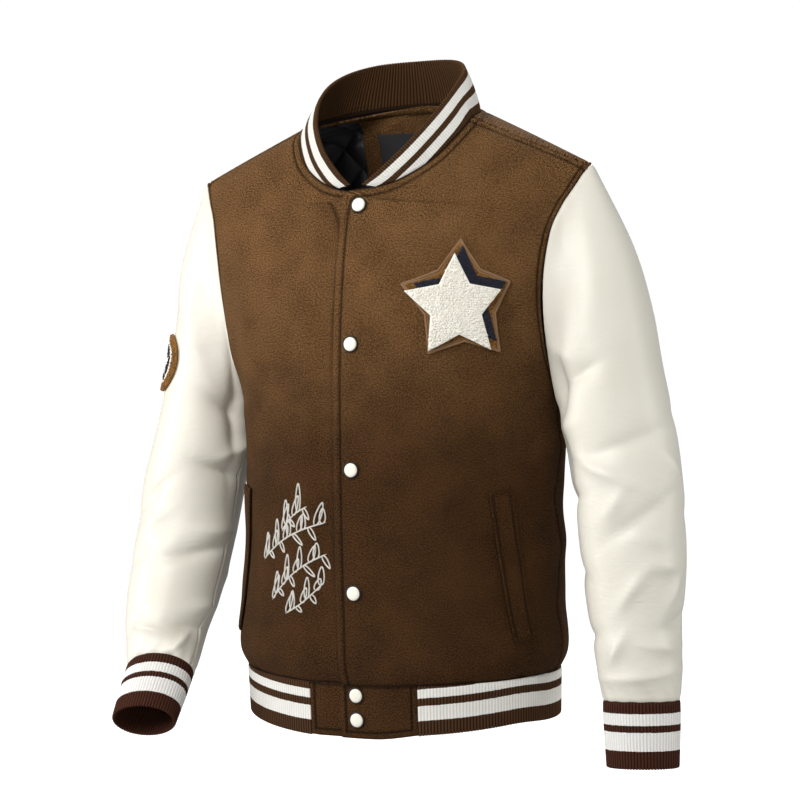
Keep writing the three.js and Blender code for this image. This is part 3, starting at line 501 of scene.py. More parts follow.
def front_piece(name, side):
    """A front: its form with the edges' seams and grooves, and the lining's face 2.2 mm inside."""
    form = front_form(side)
    at = np.interp(spaced(610, 10, 1.0, 3.4), [0, 0.49, 1], [0, UNDERARM_ROW, SHOULDER_ROW])
    share = spaced(225)
    edge = lap_share(at)[:, None]
    u = edge + (1 - edge) * share[None, :]
    rows = np.broadcast_to(at[:, None], u.shape)
    base = form(u, rows)
    out = normals(form, u, rows) * side
    across, up = path_length(base, 1), path_length(base, 0)
    width, height = across[:, -1:], up[-1:, :]
    soft = fade(np.abs(rows - NECK_ROW - 0.3), 0.6, 1.7) * (1 - fade(across, 4, 22)) * (1 - fade(width - across, 4, 22))
    base, out = eased(base, soft, 90), eased(out, soft, 90)
    out /= np.linalg.norm(out, axis=-1, keepdims=True)
    lift = seam_dip(width - across) + seam_dip(height - up) + seam_dip(up, 0.8)
    edge_line = form(np.linspace(edge[:, 0].min(), 0, 20), np.full(20, float(NECK_ROW)))
    neck_line = neckline(np.linspace(NECK_SHOULDER, 1, 200)) * np.array([side, 1, 1])
    neck = distance_to(base, np.vstack([edge_line, neck_line]))
    border = np.where(rows <= NECK_ROW, np.minimum(across, neck), neck)
    lift += stitch_groove(border, NECK_BAND)
    # Painted shade in the seams, the topstitch grooves and along the hem and neck edges; the rims take half as much.
    painted_shade = groove_shade_bell(border, NECK_BAND) + 0.8 * groove_shade_bell(width - across) + groove_shade_bell(up, 0, 2.5)
    beside_arm = np.where(rows > UNDERARM_ROW, 1.0, 0.0)
    lift += beside_arm * stitch_groove(width - across, 6)
    painted_shade += beside_arm * groove_shade_bell(width - across, 6)
    lift += stitch_groove(height - up, 10, 1.1, 1.4, 0.5)
    painted_shade += groove_shade_bell(height - up, 10, 1.6) + groove_shade_bell(neck, 0, 1.8)
    # Painted shadow of the left front's edge where it lies over the right front.
    if side < 0:
        painted_shade += np.where(rows <= NECK_ROW, 0.9 * groove_shade_bell(across, 2 * LAP + 1, 2.6), 0)
    painted_shade = np.minimum(painted_shade, 1)
    outer = base + out * lift[..., None]
    inner = outer - out * WOOL
    uv = np.stack([(base[:, :1, 0] * side + across) * side, base[..., 2]], -1)
    blocks = [(outer, uv, 0, painted_shade), (inner, uv, 1), *rims(outer, inner, uv, ["low", "high", "left", "right"], 0.5)]
    piece = mesh_piece(name, blocks, [wool, satin], [name])
    return piece


front_piece("front_left", 1)
front_piece("front_right", -1)

# Wool back: one panel cut on the fold, rounded over the shoulder blades, its edges sewn to the fronts'
# shoulder and side seams. Satin lines its inner face.
FOLDS_BACK = [
    # across (from the back centre) up slant reach width rise
    (-90, -250, 40, 60, 20, -3),
    (95, -235, -42, 56, 20, -3),
    (-120, -330, 18, 44, 18, 4),
    (120, -345, -16, 44, 18, 4),
    (-115, -400, 10, 44, 18, -4),
    (112, -420, -12, 44, 18, -4),
    (10, -480, 4, 70, 22, -3),
    (-60, -540, 12, 50, 18, 3),
    (70, -530, -8, 54, 18, 3),
    (0, -130, 90, 50, 26, -2),
    (-105, -580, 90, 14, 8, -2.4),
    (60, -580, 90, 14, 8, -2),
]


def back_form(side):
    """Half of the back: the section moved out by the back's own folds and those that run on from the
    front round the side seam. u is 0 at the centre and side at the side seam."""
    table = FOLDS_LEFT if side > 0 else FOLDS_RIGHT

    def plain(u, at):
        return on_side(panel_half(BACK, u * side, at), side)

    def form(u, at):
        point = plain(u, at)
        centre = relief(FOLDS_BACK, u * PANEL_ARC, point[..., 2]) * fade(np.abs(u), 0.75, 0.98)
        flank = relief(table, (2 - np.abs(u)) * PANEL_ARC, point[..., 2])
        n = normals(plain, u, at)
        n[..., 0] = np.where((np.abs(u) < 1e-9) & (at <= NECK_ROW + 1e-9), 0, n[..., 0])
        return point - n * (centre + flank)[..., None]

    form.plain = plain
    return form


def back_halves(rows, reach, depth, lift_of, material=0, painted_shade_of=None, ease=0, near_neck=False):
    """Both halves of a sheet on the back at a depth under its outer face, as grids of points. Rows and
    reach are lists, or grids of both over the sheet."""
    halves = []
    for side in (1, -1):
        form = back_form(side)
        u = side * np.broadcast_to(reach, (len(rows), reach.shape[-1]))
        at = np.broadcast_to(rows if rows.ndim > 1 else rows[:, None], u.shape)
        base = form(u, at)
        n = -normals(form, u, at)
        n[:, 0, 0] = np.where(at[:, 0] <= NECK_ROW + 1e-9, 0, n[:, 0, 0])
        n /= np.linalg.norm(n, axis=-1, keepdims=True)
        across, up = path_length(base, 1), path_length(base, 0)
        if ease:
            soft = fade(np.abs(at - NECK_ROW - 0.3), 0.6, 1.7) * (1 - fade(across, 4, 22))
            soft *= 1 - fade(across[:, -1:] - across, 4, 22)
            base, n = eased(base, soft, ease), eased(n, soft, ease)
            n /= np.linalg.norm(n, axis=-1, keepdims=True)
        neck_line = neckline(np.linspace(0, NECK_SHOULDER, 160)) * np.array([side, 1, 1])
        neck = distance_to(base, neck_line) if ease or near_neck else None
        lift = lift_of(across, up, at, neck)
        painted_shade = painted_shade_of(across, up, at, neck) if painted_shade_of else 0.0
        uv = np.stack([(base[:, :1, 0] * side + across) * side, base[..., 2]], -1)
        halves.append((base + n * (lift - depth)[..., None], uv, material, painted_shade))
    return halves


def back_lift(across, up, at, neck):
    """Seams at the side, shoulder and neck edges, with topstitching beside the armhole."""
    width, height = across[:, -1:], up[-1:, :]
    lift = seam_dip(width - across) + seam_dip(height - up) + seam_dip(up, 0.8)
    lift += np.where(at > UNDERARM_ROW, stitch_groove(width - across, 6), 0)
    return lift + stitch_groove(neck, NECK_BAND, 0.6)


def back_painted_shade(across, up, at, neck):
    """The same seams and topstitching, as painted shade."""
    width, height = across[:, -1:], up[-1:, :]
    painted_shade = 0.8 * groove_shade_bell(width - across) + groove_shade_bell(height - up) + groove_shade_bell(up, 0, 2.5)
    painted_shade += np.where(at > UNDERARM_ROW, groove_shade_bell(width - across, 6), 0)
    return np.minimum(painted_shade + groove_shade_bell(neck, NECK_BAND), 1)


def half_rims(outer, inner, rows):
    """Rims of two halves that share the centre up to the neck corner."""
    found = []
    past = int(np.searchsorted(rows, NECK_ROW + 1e-9))
    for (a, uv, *_), (b, *_) in zip(outer, inner):
        found += rims(a, b, uv, ["low", "high", "right"])
        found += rims(a[past - 1:], b[past - 1:], uv[past - 1:], ["left"])
    return found


back_rows = np.concatenate([
    np.linspace(0, UNDERARM_ROW, 90)[:-1],
    np.linspace(UNDERARM_ROW, NECK_ROW, 60)[:-1],
    np.linspace(NECK_ROW, SHOULDER_ROW - 0.4, 40)[:-1],
    np.linspace(SHOULDER_ROW - 0.4, SHOULDER_ROW, 10),
])
back_reach = np.concatenate([np.linspace(0, 0.94, 62)[:-1], np.linspace(0.94, 1, 16)])
back_outer = back_halves(back_rows, back_reach, 0, back_lift, 0, back_painted_shade, 24)
back_inner = back_halves(back_rows, back_reach, WOOL, back_lift, 1, None, 24)
back = mesh_piece("back", back_outer + back_inner + half_rims(back_outer, back_inner, back_rows),
                  [wool, satin], ["back"])

# Sleeves: smooth cream coated cloth, each cut in one piece with a seam under the arm, gathered a little
# into its cuff. The stiff coating breaks into round ridges and sharp valleys at the elbow.
COATED = 1.6
ARMHOLE_SEAM = 0.45
SLEEVE_TURN = 345
CREASE = 1.35
ARM_LEFT = np.array([
    # x y z lean forward side depth
    (225.5, 4, -216, 64, 0, 91, 60),
    (238, 4, -256, 50, 0, 73, 64),
    (246, 3, -299, 34, 0, 61, 64),
    (255, 1, -346, 16, 2, 58, 62),
    (262, -4, -400, 8, 4, 58, 60),
    (270, -10, -470, 6, 5, 54, 56),
    (274, -16, -540, 4, 5, 46, 50),
    (278, -19, -580, 3, 5, 43, 44),
    (280, -22, -606, 2, 5, 40, 36),
], float)
ARM_RIGHT = np.array([
    (224, 4, -216, 66, 0, 90, 50),
    (230, 4, -256, 54, 0, 68, 52),
    (238, 3, -299, 36, 0, 57, 54),
    (247, 0, -346, 18, 4, 54, 58),
    (259, -6, -400, 6, 12, 56, 59),
    (262, -18, -446, 4, 20, 55, 55),
    (264, -40, -497, 3, 26, 53, 52),
    (264, -64, -545, 0, 30, 47, 45),
    (258, -82, -572, -5, 37, 43, 38),
    (252, -98, -590, -10, 46, 40, 31),
], float)
FOLDS_SLEEVE_LEFT = [
    # across (from the underarm over the front) up slant reach width rise
    (46, -286, 68, 36, 13, -8),
    (24, -405, 80, 60, 13, -7),
    (54, -246, -20, 24, 14, 3),
    (79, -270, 30, 26, 12, -5),
    (41, -324, 12, 24, 18, 4),
    (112, -341, 17, 52, 13, -4),
    (88, -370, -26, 28, 10, 5),
    (94, -402, 52, 22, 9, 3),
    (162, -367, -50, 22, 12, 4),
    (116, -418, 31, 42, 11, -4.5),
    (126, -438, -10, 18, 10, 2),
    (106, -486, 50, 28, 9, 4),
    (143, -466, -5, 22, 9, 4),
    (156, -492, 60, 22, 9, 3),
    (169, -525, 10, 24, 9, -5.5),
    (80, -550, 50, 22, 9, 4),
    (140, -548, -8, 26, 9, 3),
    (20, -400, 10, 40, 12, -4),
    (10, -470, -12, 36, 12, -3.5),
    (25, -540, 8, 34, 10, -3),
    (245, -330, -18, 50, 14, -4),
    (262, -385, 12, 46, 12, 4),
    (240, -440, -24, 44, 12, -4.5),
    (270, -500, 20, 38, 11, 4),
    (250, -560, -10, 40, 10, 3),
    (100, -578, 4, 60, 9, 2.5),
]
FOLDS_SLEEVE_RIGHT = [
    (24, -300, 84, 70, 13, -8),
    (37, -306, 29, 30, 12, -6),
    (11, -354, -20, 26, 13, 5),
    (29, -376, 15, 32, 11, -6),
    (23, -443, 10, 26, 12, 5),
    (41, -464, -5, 36, 10, -6),
    (8, -524, 6, 26, 11, 4),
    (22, -543, 10, 30, 9, -5),
    (109, -401, -37, 28, 11, -5),
    (116, -466, -30, 26, 10, -5),
    (113, -537, -35, 24, 9, -4),
    (87, -543, 8, 26, 8, 4),
    (42, -566, -40, 24, 8, 4),
    (100, -430, -34, 22, 10, 3),
    (60, -250, 20, 36, 18, -3),
    (250, -300, 16, 48, 14, -4),
    (262, -360, -14, 46, 12, 4),
    (245, -415, 20, 44, 12, -4.5),
    (268, -480, -20, 40, 11, 4),
    (250, -545, 12, 36, 10, -3.5),
]


def armhole(turn):
    """The armhole's edge by turn: 0 underarm, a quarter at the front, a half at the shoulder tip."""
    share = np.where(turn <= 0.5, turn * 2, (1 - turn) * 2)
    at = UNDERARM_ROW + (SHOULDER_ROW - UNDERARM_ROW) * share
    one = np.ones_like(at)
    return np.where((turn <= 0.5)[..., None], panel_half(FRONT, one, at), panel_half(BACK, one, at))


def arm_frames(arm):
    """For each ring its centre, the way down the arm, and the outward and forward directions."""
    x, y, z, lean, ahead, side, depth = arm.T
    lean, ahead = np.radians(lean), np.radians(ahead)
    down = np.stack([np.sin(lean) * np.cos(ahead), -np.sin(ahead), -np.cos(lean) * np.cos(ahead)], -1)
    out = np.stack([np.cos(lean), 0 * lean, np.sin(lean)], -1)
    out -= down * (out * down).sum(-1, keepdims=True)
    out /= np.linalg.norm(out, axis=-1, keepdims=True)
    ahead = np.cross(out, down)
    ahead *= np.where(ahead[:, 1:2] > 0, -1, 1)
    return np.stack([x, y, z], -1), down, out, ahead, side[:, None], depth[:, None]


def sleeve_form(arm, table, side):
    """A tube through the armhole's edge and the arm's elliptical rings, joined along the arm by
    Catmull-Rom curves and moved out by the creases."""
    centre, _, out, ahead, wide, deep = arm_frames(arm)
    last = len(arm)

    def ring(i, turn):
        k = np.clip(i - 1, 0, last - 1)
        angle = (turn * 2 * math.pi)[..., None]
        tube = centre[k] - out[k] * wide[k] * np.cos(angle) + ahead[k] * deep[k] * np.sin(angle)
        hole = armhole(turn) + np.array([ARMHOLE_SEAM, 0, 0])
        return np.where((i <= 0)[..., None], hole, tube)

    def knot(i, turn):
        inside = np.clip(i, 0, last)
        plain = ring(inside, turn)
        over = 2 * plain - ring(inside + np.where(i < 0, 1, -1), turn)
        return np.where(((i < 0) | (i > last))[..., None], over, plain)

    def tube(turn, at):
        t = np.maximum(turn - np.floor(turn + 1e-9), 0)
        i = np.floor(np.minimum(at, last - 1e-6)).astype(int)
        f = (at - i)[..., None]
        a, b, c, d = (knot(i + k, t) for k in (-1, 0, 1, 2))
        bend = f * ((2 * a - 5 * b + 4 * c - d) + f * (3 * b - 3 * c + d - a))
        return (b + 0.5 * f * ((c - a) + bend)) * np.array([side, 1, 1])

    def form(turn, at):
        point = tube(turn, at)
        settled = np.clip(np.minimum(at, (last - at) * 2), 0, 1)
        lift = CREASE * settled * relief(table, turn * SLEEVE_TURN, point[..., 2], SLEEVE_TURN, 0.85)
        return point - normals(tube, turn, at) * (side * lift)[..., None]

    form.plain = tube
    return form


def coated_look(tree):
    """Cream with faint warm clouding, a fine pebble grain and shallow hairline wrinkles."""
    place = part(tree, "ShaderNodeTexCoord").outputs["Object"]
    cloud = noise(tree, place, 14, 2.0)
    grain = part(tree, "ShaderNodeTexVoronoi", {"Vector": place, "Scale": 900.0},
                 feature="SMOOTH_F1").outputs["Distance"]
    wrinkle = part(tree, "ShaderNodeMapping", {"Vector": place, "Scale": (1.0, 1.0, 2.2)}).outputs[0]
    lines = noise(tree, wrinkle, 46, 5.0, 0.6, 1.2)
    height = calc(tree, "ADD", calc(tree, "MULTIPLY", grain, 0.12), calc(tree, "MULTIPLY", lines, 1.0))
    return blend_colours(tree, cloud, colour("e1dccc"), colour("eae6da")), height, 0.0006


coated = finish_of("cream_coated_cloth", 0.44, coated_look, Specular_IOR_Level=0.4,
                   Coat_Weight=0.12, Coat_Roughness=0.35, Subsurface_Weight=0.0)


def tricot_look(tree):
    """Plain black lining with a fine vertical wale."""
    cloth = part(tree, "ShaderNodeUVMap", uv_map="cloth").outputs[0]
    across = part(tree, "ShaderNodeSeparateXYZ", {0: cloth}).outputs[0]
    wale = calc(tree, "SINE", calc(tree, "MULTIPLY", across, 2 * math.pi / 0.0009))
    return colour("151518"), wale, 0.0001


tricot = finish_of("black_sleeve_lining", 0.55, tricot_look)


def sleeve_piece(name, arm, table, side):
    """A sleeve: its form with the seams, gathers at the cuff, and the lining's face 1.6 mm inside."""
    form = sleeve_form(arm, table, side)
    last = len(arm)
    at = np.concatenate([np.linspace(0, 0.25, 9)[:-1], np.linspace(0.25, last - 0.3, 132),
                         np.linspace(last - 0.3, last, 9)[1:]])
    turn = np.concatenate([np.linspace(0, 0.012, 6)[:-1], np.linspace(0.012, 0.988, 118),
                           np.linspace(0.988, 1, 6)[1:]])
    turns, rows = np.meshgrid(turn, at)
    base = form(turns, rows)
    out = -side * normals(form, turns, rows)
    across, down = path_length(base, 1), path_length(base, 0)
    girth, length = across[:, -1:], down[-1:, :]
    lift = seam_dip(down, 1.3, 2.2) + seam_dip(length - down, 0.9, 2)
    lift += seam_dip(np.minimum(across, girth - across), 0.9, 1.4)
    pucker = np.sin(across * 2 * math.pi / 17 + 1.3 * np.sin(across / 23))
    lift += 0.25 * pucker * np.exp(-(down / 9) ** 2)
    lift += 0.55 * pucker * np.exp(-((length - down) / 13) ** 2)
    outer = base + out * lift[..., None]
    inner = outer - out * COATED
    uv = np.stack([across, -down], -1)
    blocks = [(outer, uv, 0), (inner, uv, 1), *rims(outer, inner, uv, ["low", "high"])]
    piece = mesh_piece(name, blocks, [coated, tricot], [name])
    return piece


sleeve_piece("sleeve_left", ARM_LEFT, FOLDS_SLEEVE_LEFT, 1)
sleeve_piece("sleeve_right", ARM_RIGHT, FOLDS_SLEEVE_RIGHT, -1)

# Collar: a folded band of striped rib knit that stands round the neck and tapers to a point at each
# front. Its ribs run up and over the fold, so both faces show them.
KNIT = 2.0
COLLAR_SEAM = 1.1
COLLAR_HEIGHT, FOOT_RADIUS = 56, 2.5
COLLAR_RIB, HEM_RIB, CUFF_RIB = 3.0, 3.4, 3.4
RIB_RISE = 0.9
COLLAR_TOP = np.array([
    # seam x y z, from the back centre to the front point
    (0, 0, 74, 69),
    (0.17, 48, 60, 66),
    (0.33, 74, 28, 54),
    (0.45, 80, -8, 34),
    (0.6, 71, -42, 4),
    (0.74, 51, -68, -28),
    (0.85, 27, -83, -54),
    (0.925, 8, -90, -70),
], float)


def collar_form(t, v):
    """Straight from the neck edge to the collar's top edge, with a slight outward bulge."""
    t, v = np.broadcast_arrays(np.asarray(t, float), np.asarray(v, float))
    left = COLLAR_TOP[1:][::-1] * np.array([-1, -1, 1, 1])
    whole = np.vstack([left, COLLAR_TOP])
    last = len(COLLAR_TOP) - 1
    side = np.where(t < 0, -1.0, 1.0)
    seam, x, y, z = read(whole, last + np.abs(t) * last)
    top = np.stack([x * side, y, z], -1)
    foot = neckline(seam)
    foot[..., 0] *= side
    stand = top - foot
    foot = foot + stand / np.linalg.norm(stand, axis=-1, keepdims=True) * COLLAR_SEAM
    point = foot + (top - foot) * v[..., None]
    level = point * np.array([1, 1, 0])
    return point + level / np.linalg.norm(level, axis=-1, keepdims=True) * (1.5 * np.sin(v * math.pi))[..., None]


def even_places(line, start, end, count):
    """Places that split a curve into equal lengths."""
    fine = np.linspace(start, end, 1600)
    length = path_length(line(fine)[None], 1)[0]
    return np.interp(np.linspace(0, length[-1], count + 1), length, fine), length[-1]


def knit_blocks(form, sign, line, start, end, pitch, steps, thick, full=0.0):
    """A folded band of ribs: up the outer face, round the fold and down the inner face. form(t, v) has
    v 0 at the sewn edge and 1 at the fold. A rib's rise is a rounded arch between narrow valleys. The
    texture's length runs from the fold, below 0 on the inner face, which has no stripes; where the band
    is narrower than its full height, the length is stretched by at most a quarter."""
    per = 6
    _, length = even_places(line, start, end, 2)
    ribs = round(length / pitch)
    places, length = even_places(line, start, end, ribs * per)
    bend = np.linspace(0, math.pi, 7)
    face = np.linspace(0, 1, steps)
    v = np.concatenate([face, np.ones(5), face[::-1]])
    angle = np.concatenate([np.zeros(steps), bend[1:-1], np.full(steps, math.pi)])[:, None, None]
    t, v = np.meshgrid(places, v)
    base = form(t, v)
    n = normals(form, t, v) * sign
    up = form(t, v) - form(t, v - 1e-3)
    up /= np.linalg.norm(up, axis=-1, keepdims=True)
    share = (np.arange(ribs * per + 1) / per) % 1
    rise = RIB_RISE * (1 - np.abs(2 * share - 1) ** 2.2)[None, :, None]
    sewn = np.clip(v / 0.06, 0.35, 1)[..., None]
    ring = (n * np.cos(angle) + up * np.sin(angle)) * (thick / 2 + rise * sewn)
    points = base - n * thick / 2 + ring
    fold = form(t, np.ones_like(v))
    height = np.linalg.norm(fold - form(t, np.zeros_like(v)), axis=-1)
    depth = np.linalg.norm(fold - base, axis=-1) * np.clip(full / height, 1, 1.6)
    face_of = np.where(angle[..., 0] > 1.6, -1, 1)
    uv = np.stack([np.broadcast_to(np.arange(ribs * per + 1) / per * pitch, v.shape), depth * face_of], -1)
    closing = np.stack([points[0], points[-1]])
    blocks = [(points, uv, 0), (closing, uv[[0, 0]], 0)]
    return blocks, points, uv


def end_caps(points, uv):
    """Flat ends for an open band: its first and last column, folded shut along the middle."""
    caps = []
    half = len(points) // 2
    for k in (0, -1):
        ring, coords = points[:, k], uv[:, k]
        a, b = ring[:half + 1], ring[::-1][:half + 1]
        caps.append((np.stack([a, b]), np.stack([coords[:half + 1], coords[:half + 1]]), 0))
    return caps


def rib_material(name, brown, dark, white, stripes, pitch):
    """Rib knit: a V of two yarns for each stitch, stripes by the distance from the fold, and painted shade
    in the valleys between the ribs.
    """
    def look(tree):
        cloth = part(tree, "ShaderNodeUVMap", uv_map="cloth").outputs[0]
        split = part(tree, "ShaderNodeSeparateXYZ", {0: cloth})
        wobble = calc(tree, "MULTIPLY", calc(tree, "SUBTRACT", noise(tree, cloth, 320, 2.0), 0.5), 0.0012)
        depth = calc(tree, "ADD", split.outputs[1], wobble)
        mask = 0.0
        for low, high in stripes:
            inside = calc(tree, "MULTIPLY", calc(tree, "GREATER_THAN", depth, low * MM),
                          calc(tree, "LESS_THAN", depth, high * MM))
            mask = calc(tree, "ADD", mask, inside)
        column = calc(tree, "MULTIPLY", split.outputs[0], 1 / (pitch * MM))
        valley = calc(tree, "ABSOLUTE", calc(tree, "SUBTRACT", calc(tree, "FRACT", column), 0.5))
        vee = calc(tree, "ADD", split.outputs[1], calc(tree, "MULTIPLY", valley, 0.0032))
        yarn = calc(tree, "SINE", calc(tree, "MULTIPLY", vee, 2 * math.pi / 0.0019))
        fuzz = noise(tree, cloth, 1700, 3.0, 0.7)
        height = calc(tree, "ADD", calc(tree, "MULTIPLY", yarn, 0.45), fuzz)
        # Painted shade in the valleys between the ribs, weaker on the white stripes.
        shade = part(tree, "ShaderNodeMapRange", {0: valley, 1: 0.18, 2: 0.46, 3: 0.0, 4: 0.95}).outputs[0]
        shade = calc(tree, "MULTIPLY", shade, calc(tree, "SUBTRACT", 1.0, calc(tree, "MULTIPLY", mask, 0.82)))
        flecked = blend_colours(tree, fuzz, colour(brown), colour(dark))
        base = blend_colours(tree, mask, flecked, colour(white))
        return blend_colours(tree, shade, base, colour("180c06")), height, 0.0005
    return finish_of(name, 0.9, look, Sheen_Weight=0.04, Sheen_Roughness=0.5, Sheen_Tint=colour("a98a66"),
                     Specular_IOR_Level=0.15)


collar_knit = rib_material("collar_rib_knit", "674829", "432b16", "fffdf6", [(7, 21.5), (31, 45)], COLLAR_RIB)
collar_top_line = lambda t: collar_form(t, np.ones_like(t))
collar_blocks, collar_points, collar_uv = knit_blocks(
    collar_form, -1, collar_top_line, -1, 1, COLLAR_RIB, 16, KNIT, COLLAR_HEIGHT)
foot_places, _ = even_places(neckline, -1, 1, 300)
foot, stand = collar_form(foot_places, 0), collar_form(foot_places, 1e-3)
stand = (stand - foot) / np.linalg.norm(stand - foot, axis=-1, keepdims=True)
level = normals(collar_form, foot_places, np.zeros_like(foot_places))
turn = np.linspace(0, 2 * math.pi, 9)[None, :, None]
bead = (foot - stand * COLLAR_SEAM + level * FOOT_RADIUS)[:, None] + FOOT_RADIUS * (
    stand[:, None] * np.sin(turn) + level[:, None] * np.cos(turn))
# The bead's texture place sits in a rib valley, so it takes the painted valley shade almost fully.
collar_blocks.append((bead, np.array([0, -5.0]), 0))
collar = mesh_piece("collar", collar_blocks + end_caps(collar_points, collar_uv), [collar_knit],
                    ["collar"])

# Hem: a folded band of striped rib knit from tab to tab round the back, 53 mm high at the front.
HEM_BOTTOM, HEM_RISE, HEM_PULL = -646, 12, 4.5
TAB_LEFT, TAB_LAP, TAB_RIGHT = 68, 18, 57


def hem_line(quarter):
    """The wool's lower edge by quarter: 0 front centre, 1 left side, 2 back, 3 right side."""
    q = np.mod(quarter, 4)
    level = np.zeros_like(q)
    front = panel_half(FRONT, np.where(q < 2, q, 4 - q), level)
    behind = panel_half(BACK, np.where(q < 2, 2 - q, q - 2), level)
    point = np.where(((q < 1) | (q > 3))[..., None], front, behind)
    return np.where((q > 2)[..., None], on_side(point, -1), point)


def hem_form(inset=None):
    """Down from the hem line to a lower edge that rises towards the sides, drawn in a little. v is 0 at
    the lower edge and 1 at the hem line."""
    def form(quarter, v):
        quarter, v = np.broadcast_arrays(np.asarray(quarter, float), np.asarray(v, float))
        point = hem_line(quarter)
        out = point * np.array([1, 1.9, 0])
        out /= np.linalg.norm(out, axis=-1, keepdims=True)
        y = point[..., 1]
        low = HEM_BOTTOM + HEM_RISE * np.where(y > 0, 1, 1 - (y / FRONT[0][4]) ** 2)
        low = low + HEM_PULL * (1 - fade(point[..., 0], 20, 80)) * fade(y, -60, 0)
        z = low + (point[..., 2] - SEAM - low) * v
        drawn = 1.5 * (1 - v) + (inset(point) if inset else 0)
        moved = point - out * drawn[..., None]
        return np.stack([moved[..., 0], moved[..., 1], z], -1)
    return form


def hem_place(distance):
    """The place on the hem line at a distance from the front centre."""
    fine = np.linspace(0, math.copysign(0.6, distance), 600)
    return float(np.interp(abs(distance), path_length(hem_line(fine)[None], 1)[0], fine * np.sign(distance))
                 * np.sign(distance))


hem_knit = rib_material("hem_rib_knit", "62432a", "3f2815", "fffdf6", [(14.5, 30), (38, 47.5)], HEM_RIB)
band_form = hem_form()
flipped = lambda q, v: band_form(q, 1 - v)
hem_start, hem_end = hem_place(TAB_LEFT + SEAM), 4 + hem_place(-TAB_RIGHT - SEAM)
hem_blocks, hem_points, hem_uv = knit_blocks(flipped, -1, hem_line, hem_start, hem_end, HEM_RIB, 14, KNIT)
hem_band = mesh_piece("hem_band", hem_blocks + end_caps(hem_points, hem_uv), [hem_knit],
                      ["hem_band"])

# Cuffs: folded tubes of the same rib knit, 67 mm long, in a redder brown.
CUFF = np.array([
    # down, then shares of the sleeve end's two radii
    (0.4, 0.985, 0.96),
    (22, 0.985, 0.93),
    (67, 0.935, 0.86),
], float)


def cuff_form(arm, side):
    """Ellipses below the sleeve's last ring. v is 0 at the sleeve and 1 at the fold."""
    centre, down, out, ahead, wide, deep = (values[-1] for values in arm_frames(arm))

    def form(turn, v):
        turn, v = np.broadcast_arrays(np.asarray(turn, float), np.asarray(v, float))
        away, across, through = (value[..., None] for value in read(CUFF, v * (len(CUFF) - 1)))
        angle = (turn * 2 * math.pi)[..., None]
        point = centre + down * away - out * wide * across * np.cos(angle)
        return (point + ahead * deep * through * np.sin(angle)) * np.array([side, 1, 1])

    return form


cuff_knit = rib_material("cuff_rib_knit", "5a3221", "381d12", "fffdf8", [(17, 36), (43, 55)], CUFF_RIB)
for name, arm, side in (("cuff_left", ARM_LEFT, 1), ("cuff_right", ARM_RIGHT, -1)):
    form = cuff_form(arm, side)
    blocks, _, _ = knit_blocks(form, -side, lambda t: form(t, np.zeros_like(t)), 0, 1, CUFF_RIB, 18, KNIT)
    cuff = mesh_piece(name, blocks, [cuff_knit], [name])

# Hem tabs: the wool ends that close the hem band at the front, topstitched 6 mm inside their edges.


def tab_piece(name, start, end, inset=None):
    """A tab: the hem's form between two places, with a groove of topstitching round it."""
    form = hem_form(inset)
    length = abs(end - start)
    places = hem_place(start) + (hem_place(end) - hem_place(start)) * spaced(length, 10, 0.8, 2.5)
    q, v = np.meshgrid(places, spaced(54, 9, 0.8, 2.5))
    base = form(q, v)
    out = normals(form, q, v)
    across, up = path_length(base, 1), path_length(base, 0)
    near = np.minimum(np.minimum(across, across[:, -1:] - across), up)
    lift = stitch_groove(near, 6) + seam_dip(up[-1:] - up, 0.9)
    # Painted shade in the topstitch groove and along the top seam; the rims take a little.
    painted_shade = np.minimum(groove_shade_bell(near, 6) + groove_shade_bell(up[-1:] - up, 0, 2), 1)
    outer = base + out * lift[..., None]
    inner = outer - out * WOOL
    uv = np.stack([across, base[..., 2]], -1)
    blocks = [(outer, uv, 0, painted_shade), (inner, uv, 0), *rims(outer, inner, uv, ["low", "high", "left", "right"], 0.4)]
    piece = mesh_piece(name, blocks, [wool], [name])
    return piece


tab_piece("hem_tab_left", -TAB_LAP, TAB_LEFT)
tab_piece("hem_tab_right", -TAB_RIGHT, LAP,
          lambda p: UNDER_DEPTH * fade(np.abs(p[..., 0]), UNDER_FLAT, UNDER_END))

# Pocket welts: folded wool strips on the slanted hand pockets, sewn down at both ends.
WELT = {"across": 137, "up": -467, "length": 158, "width": 24, "slant": 98, "gap": 1.3, "thick": 1.8}


def row_at(form, u, z):
    """The row at which a panel, before its folds, reaches a height, found by halving."""
    low, high = np.zeros(np.shape(u)), np.full(np.shape(u), float(SHOULDER_ROW))
    for _ in range(24):
        middle = (low + high) / 2
        below = form.plain(u, middle)[..., 2] < z
        low, high = np.where(below, middle, low), np.where(below, high, middle)
    return (low + high) / 2


def on_front(side, across, up, height):
    """Points over a front at mm from the centre line, a height in z and a distance off the cloth."""
    form = front_form(side)
    across, up, height = np.broadcast_arrays(*(np.asarray(v, float) for v in (across, up, height)))
    u = across / PANEL_ARC
    at = row_at(form, u, up)
    return form(u, at) + normals(form, u, at) * (side * height)[..., None]


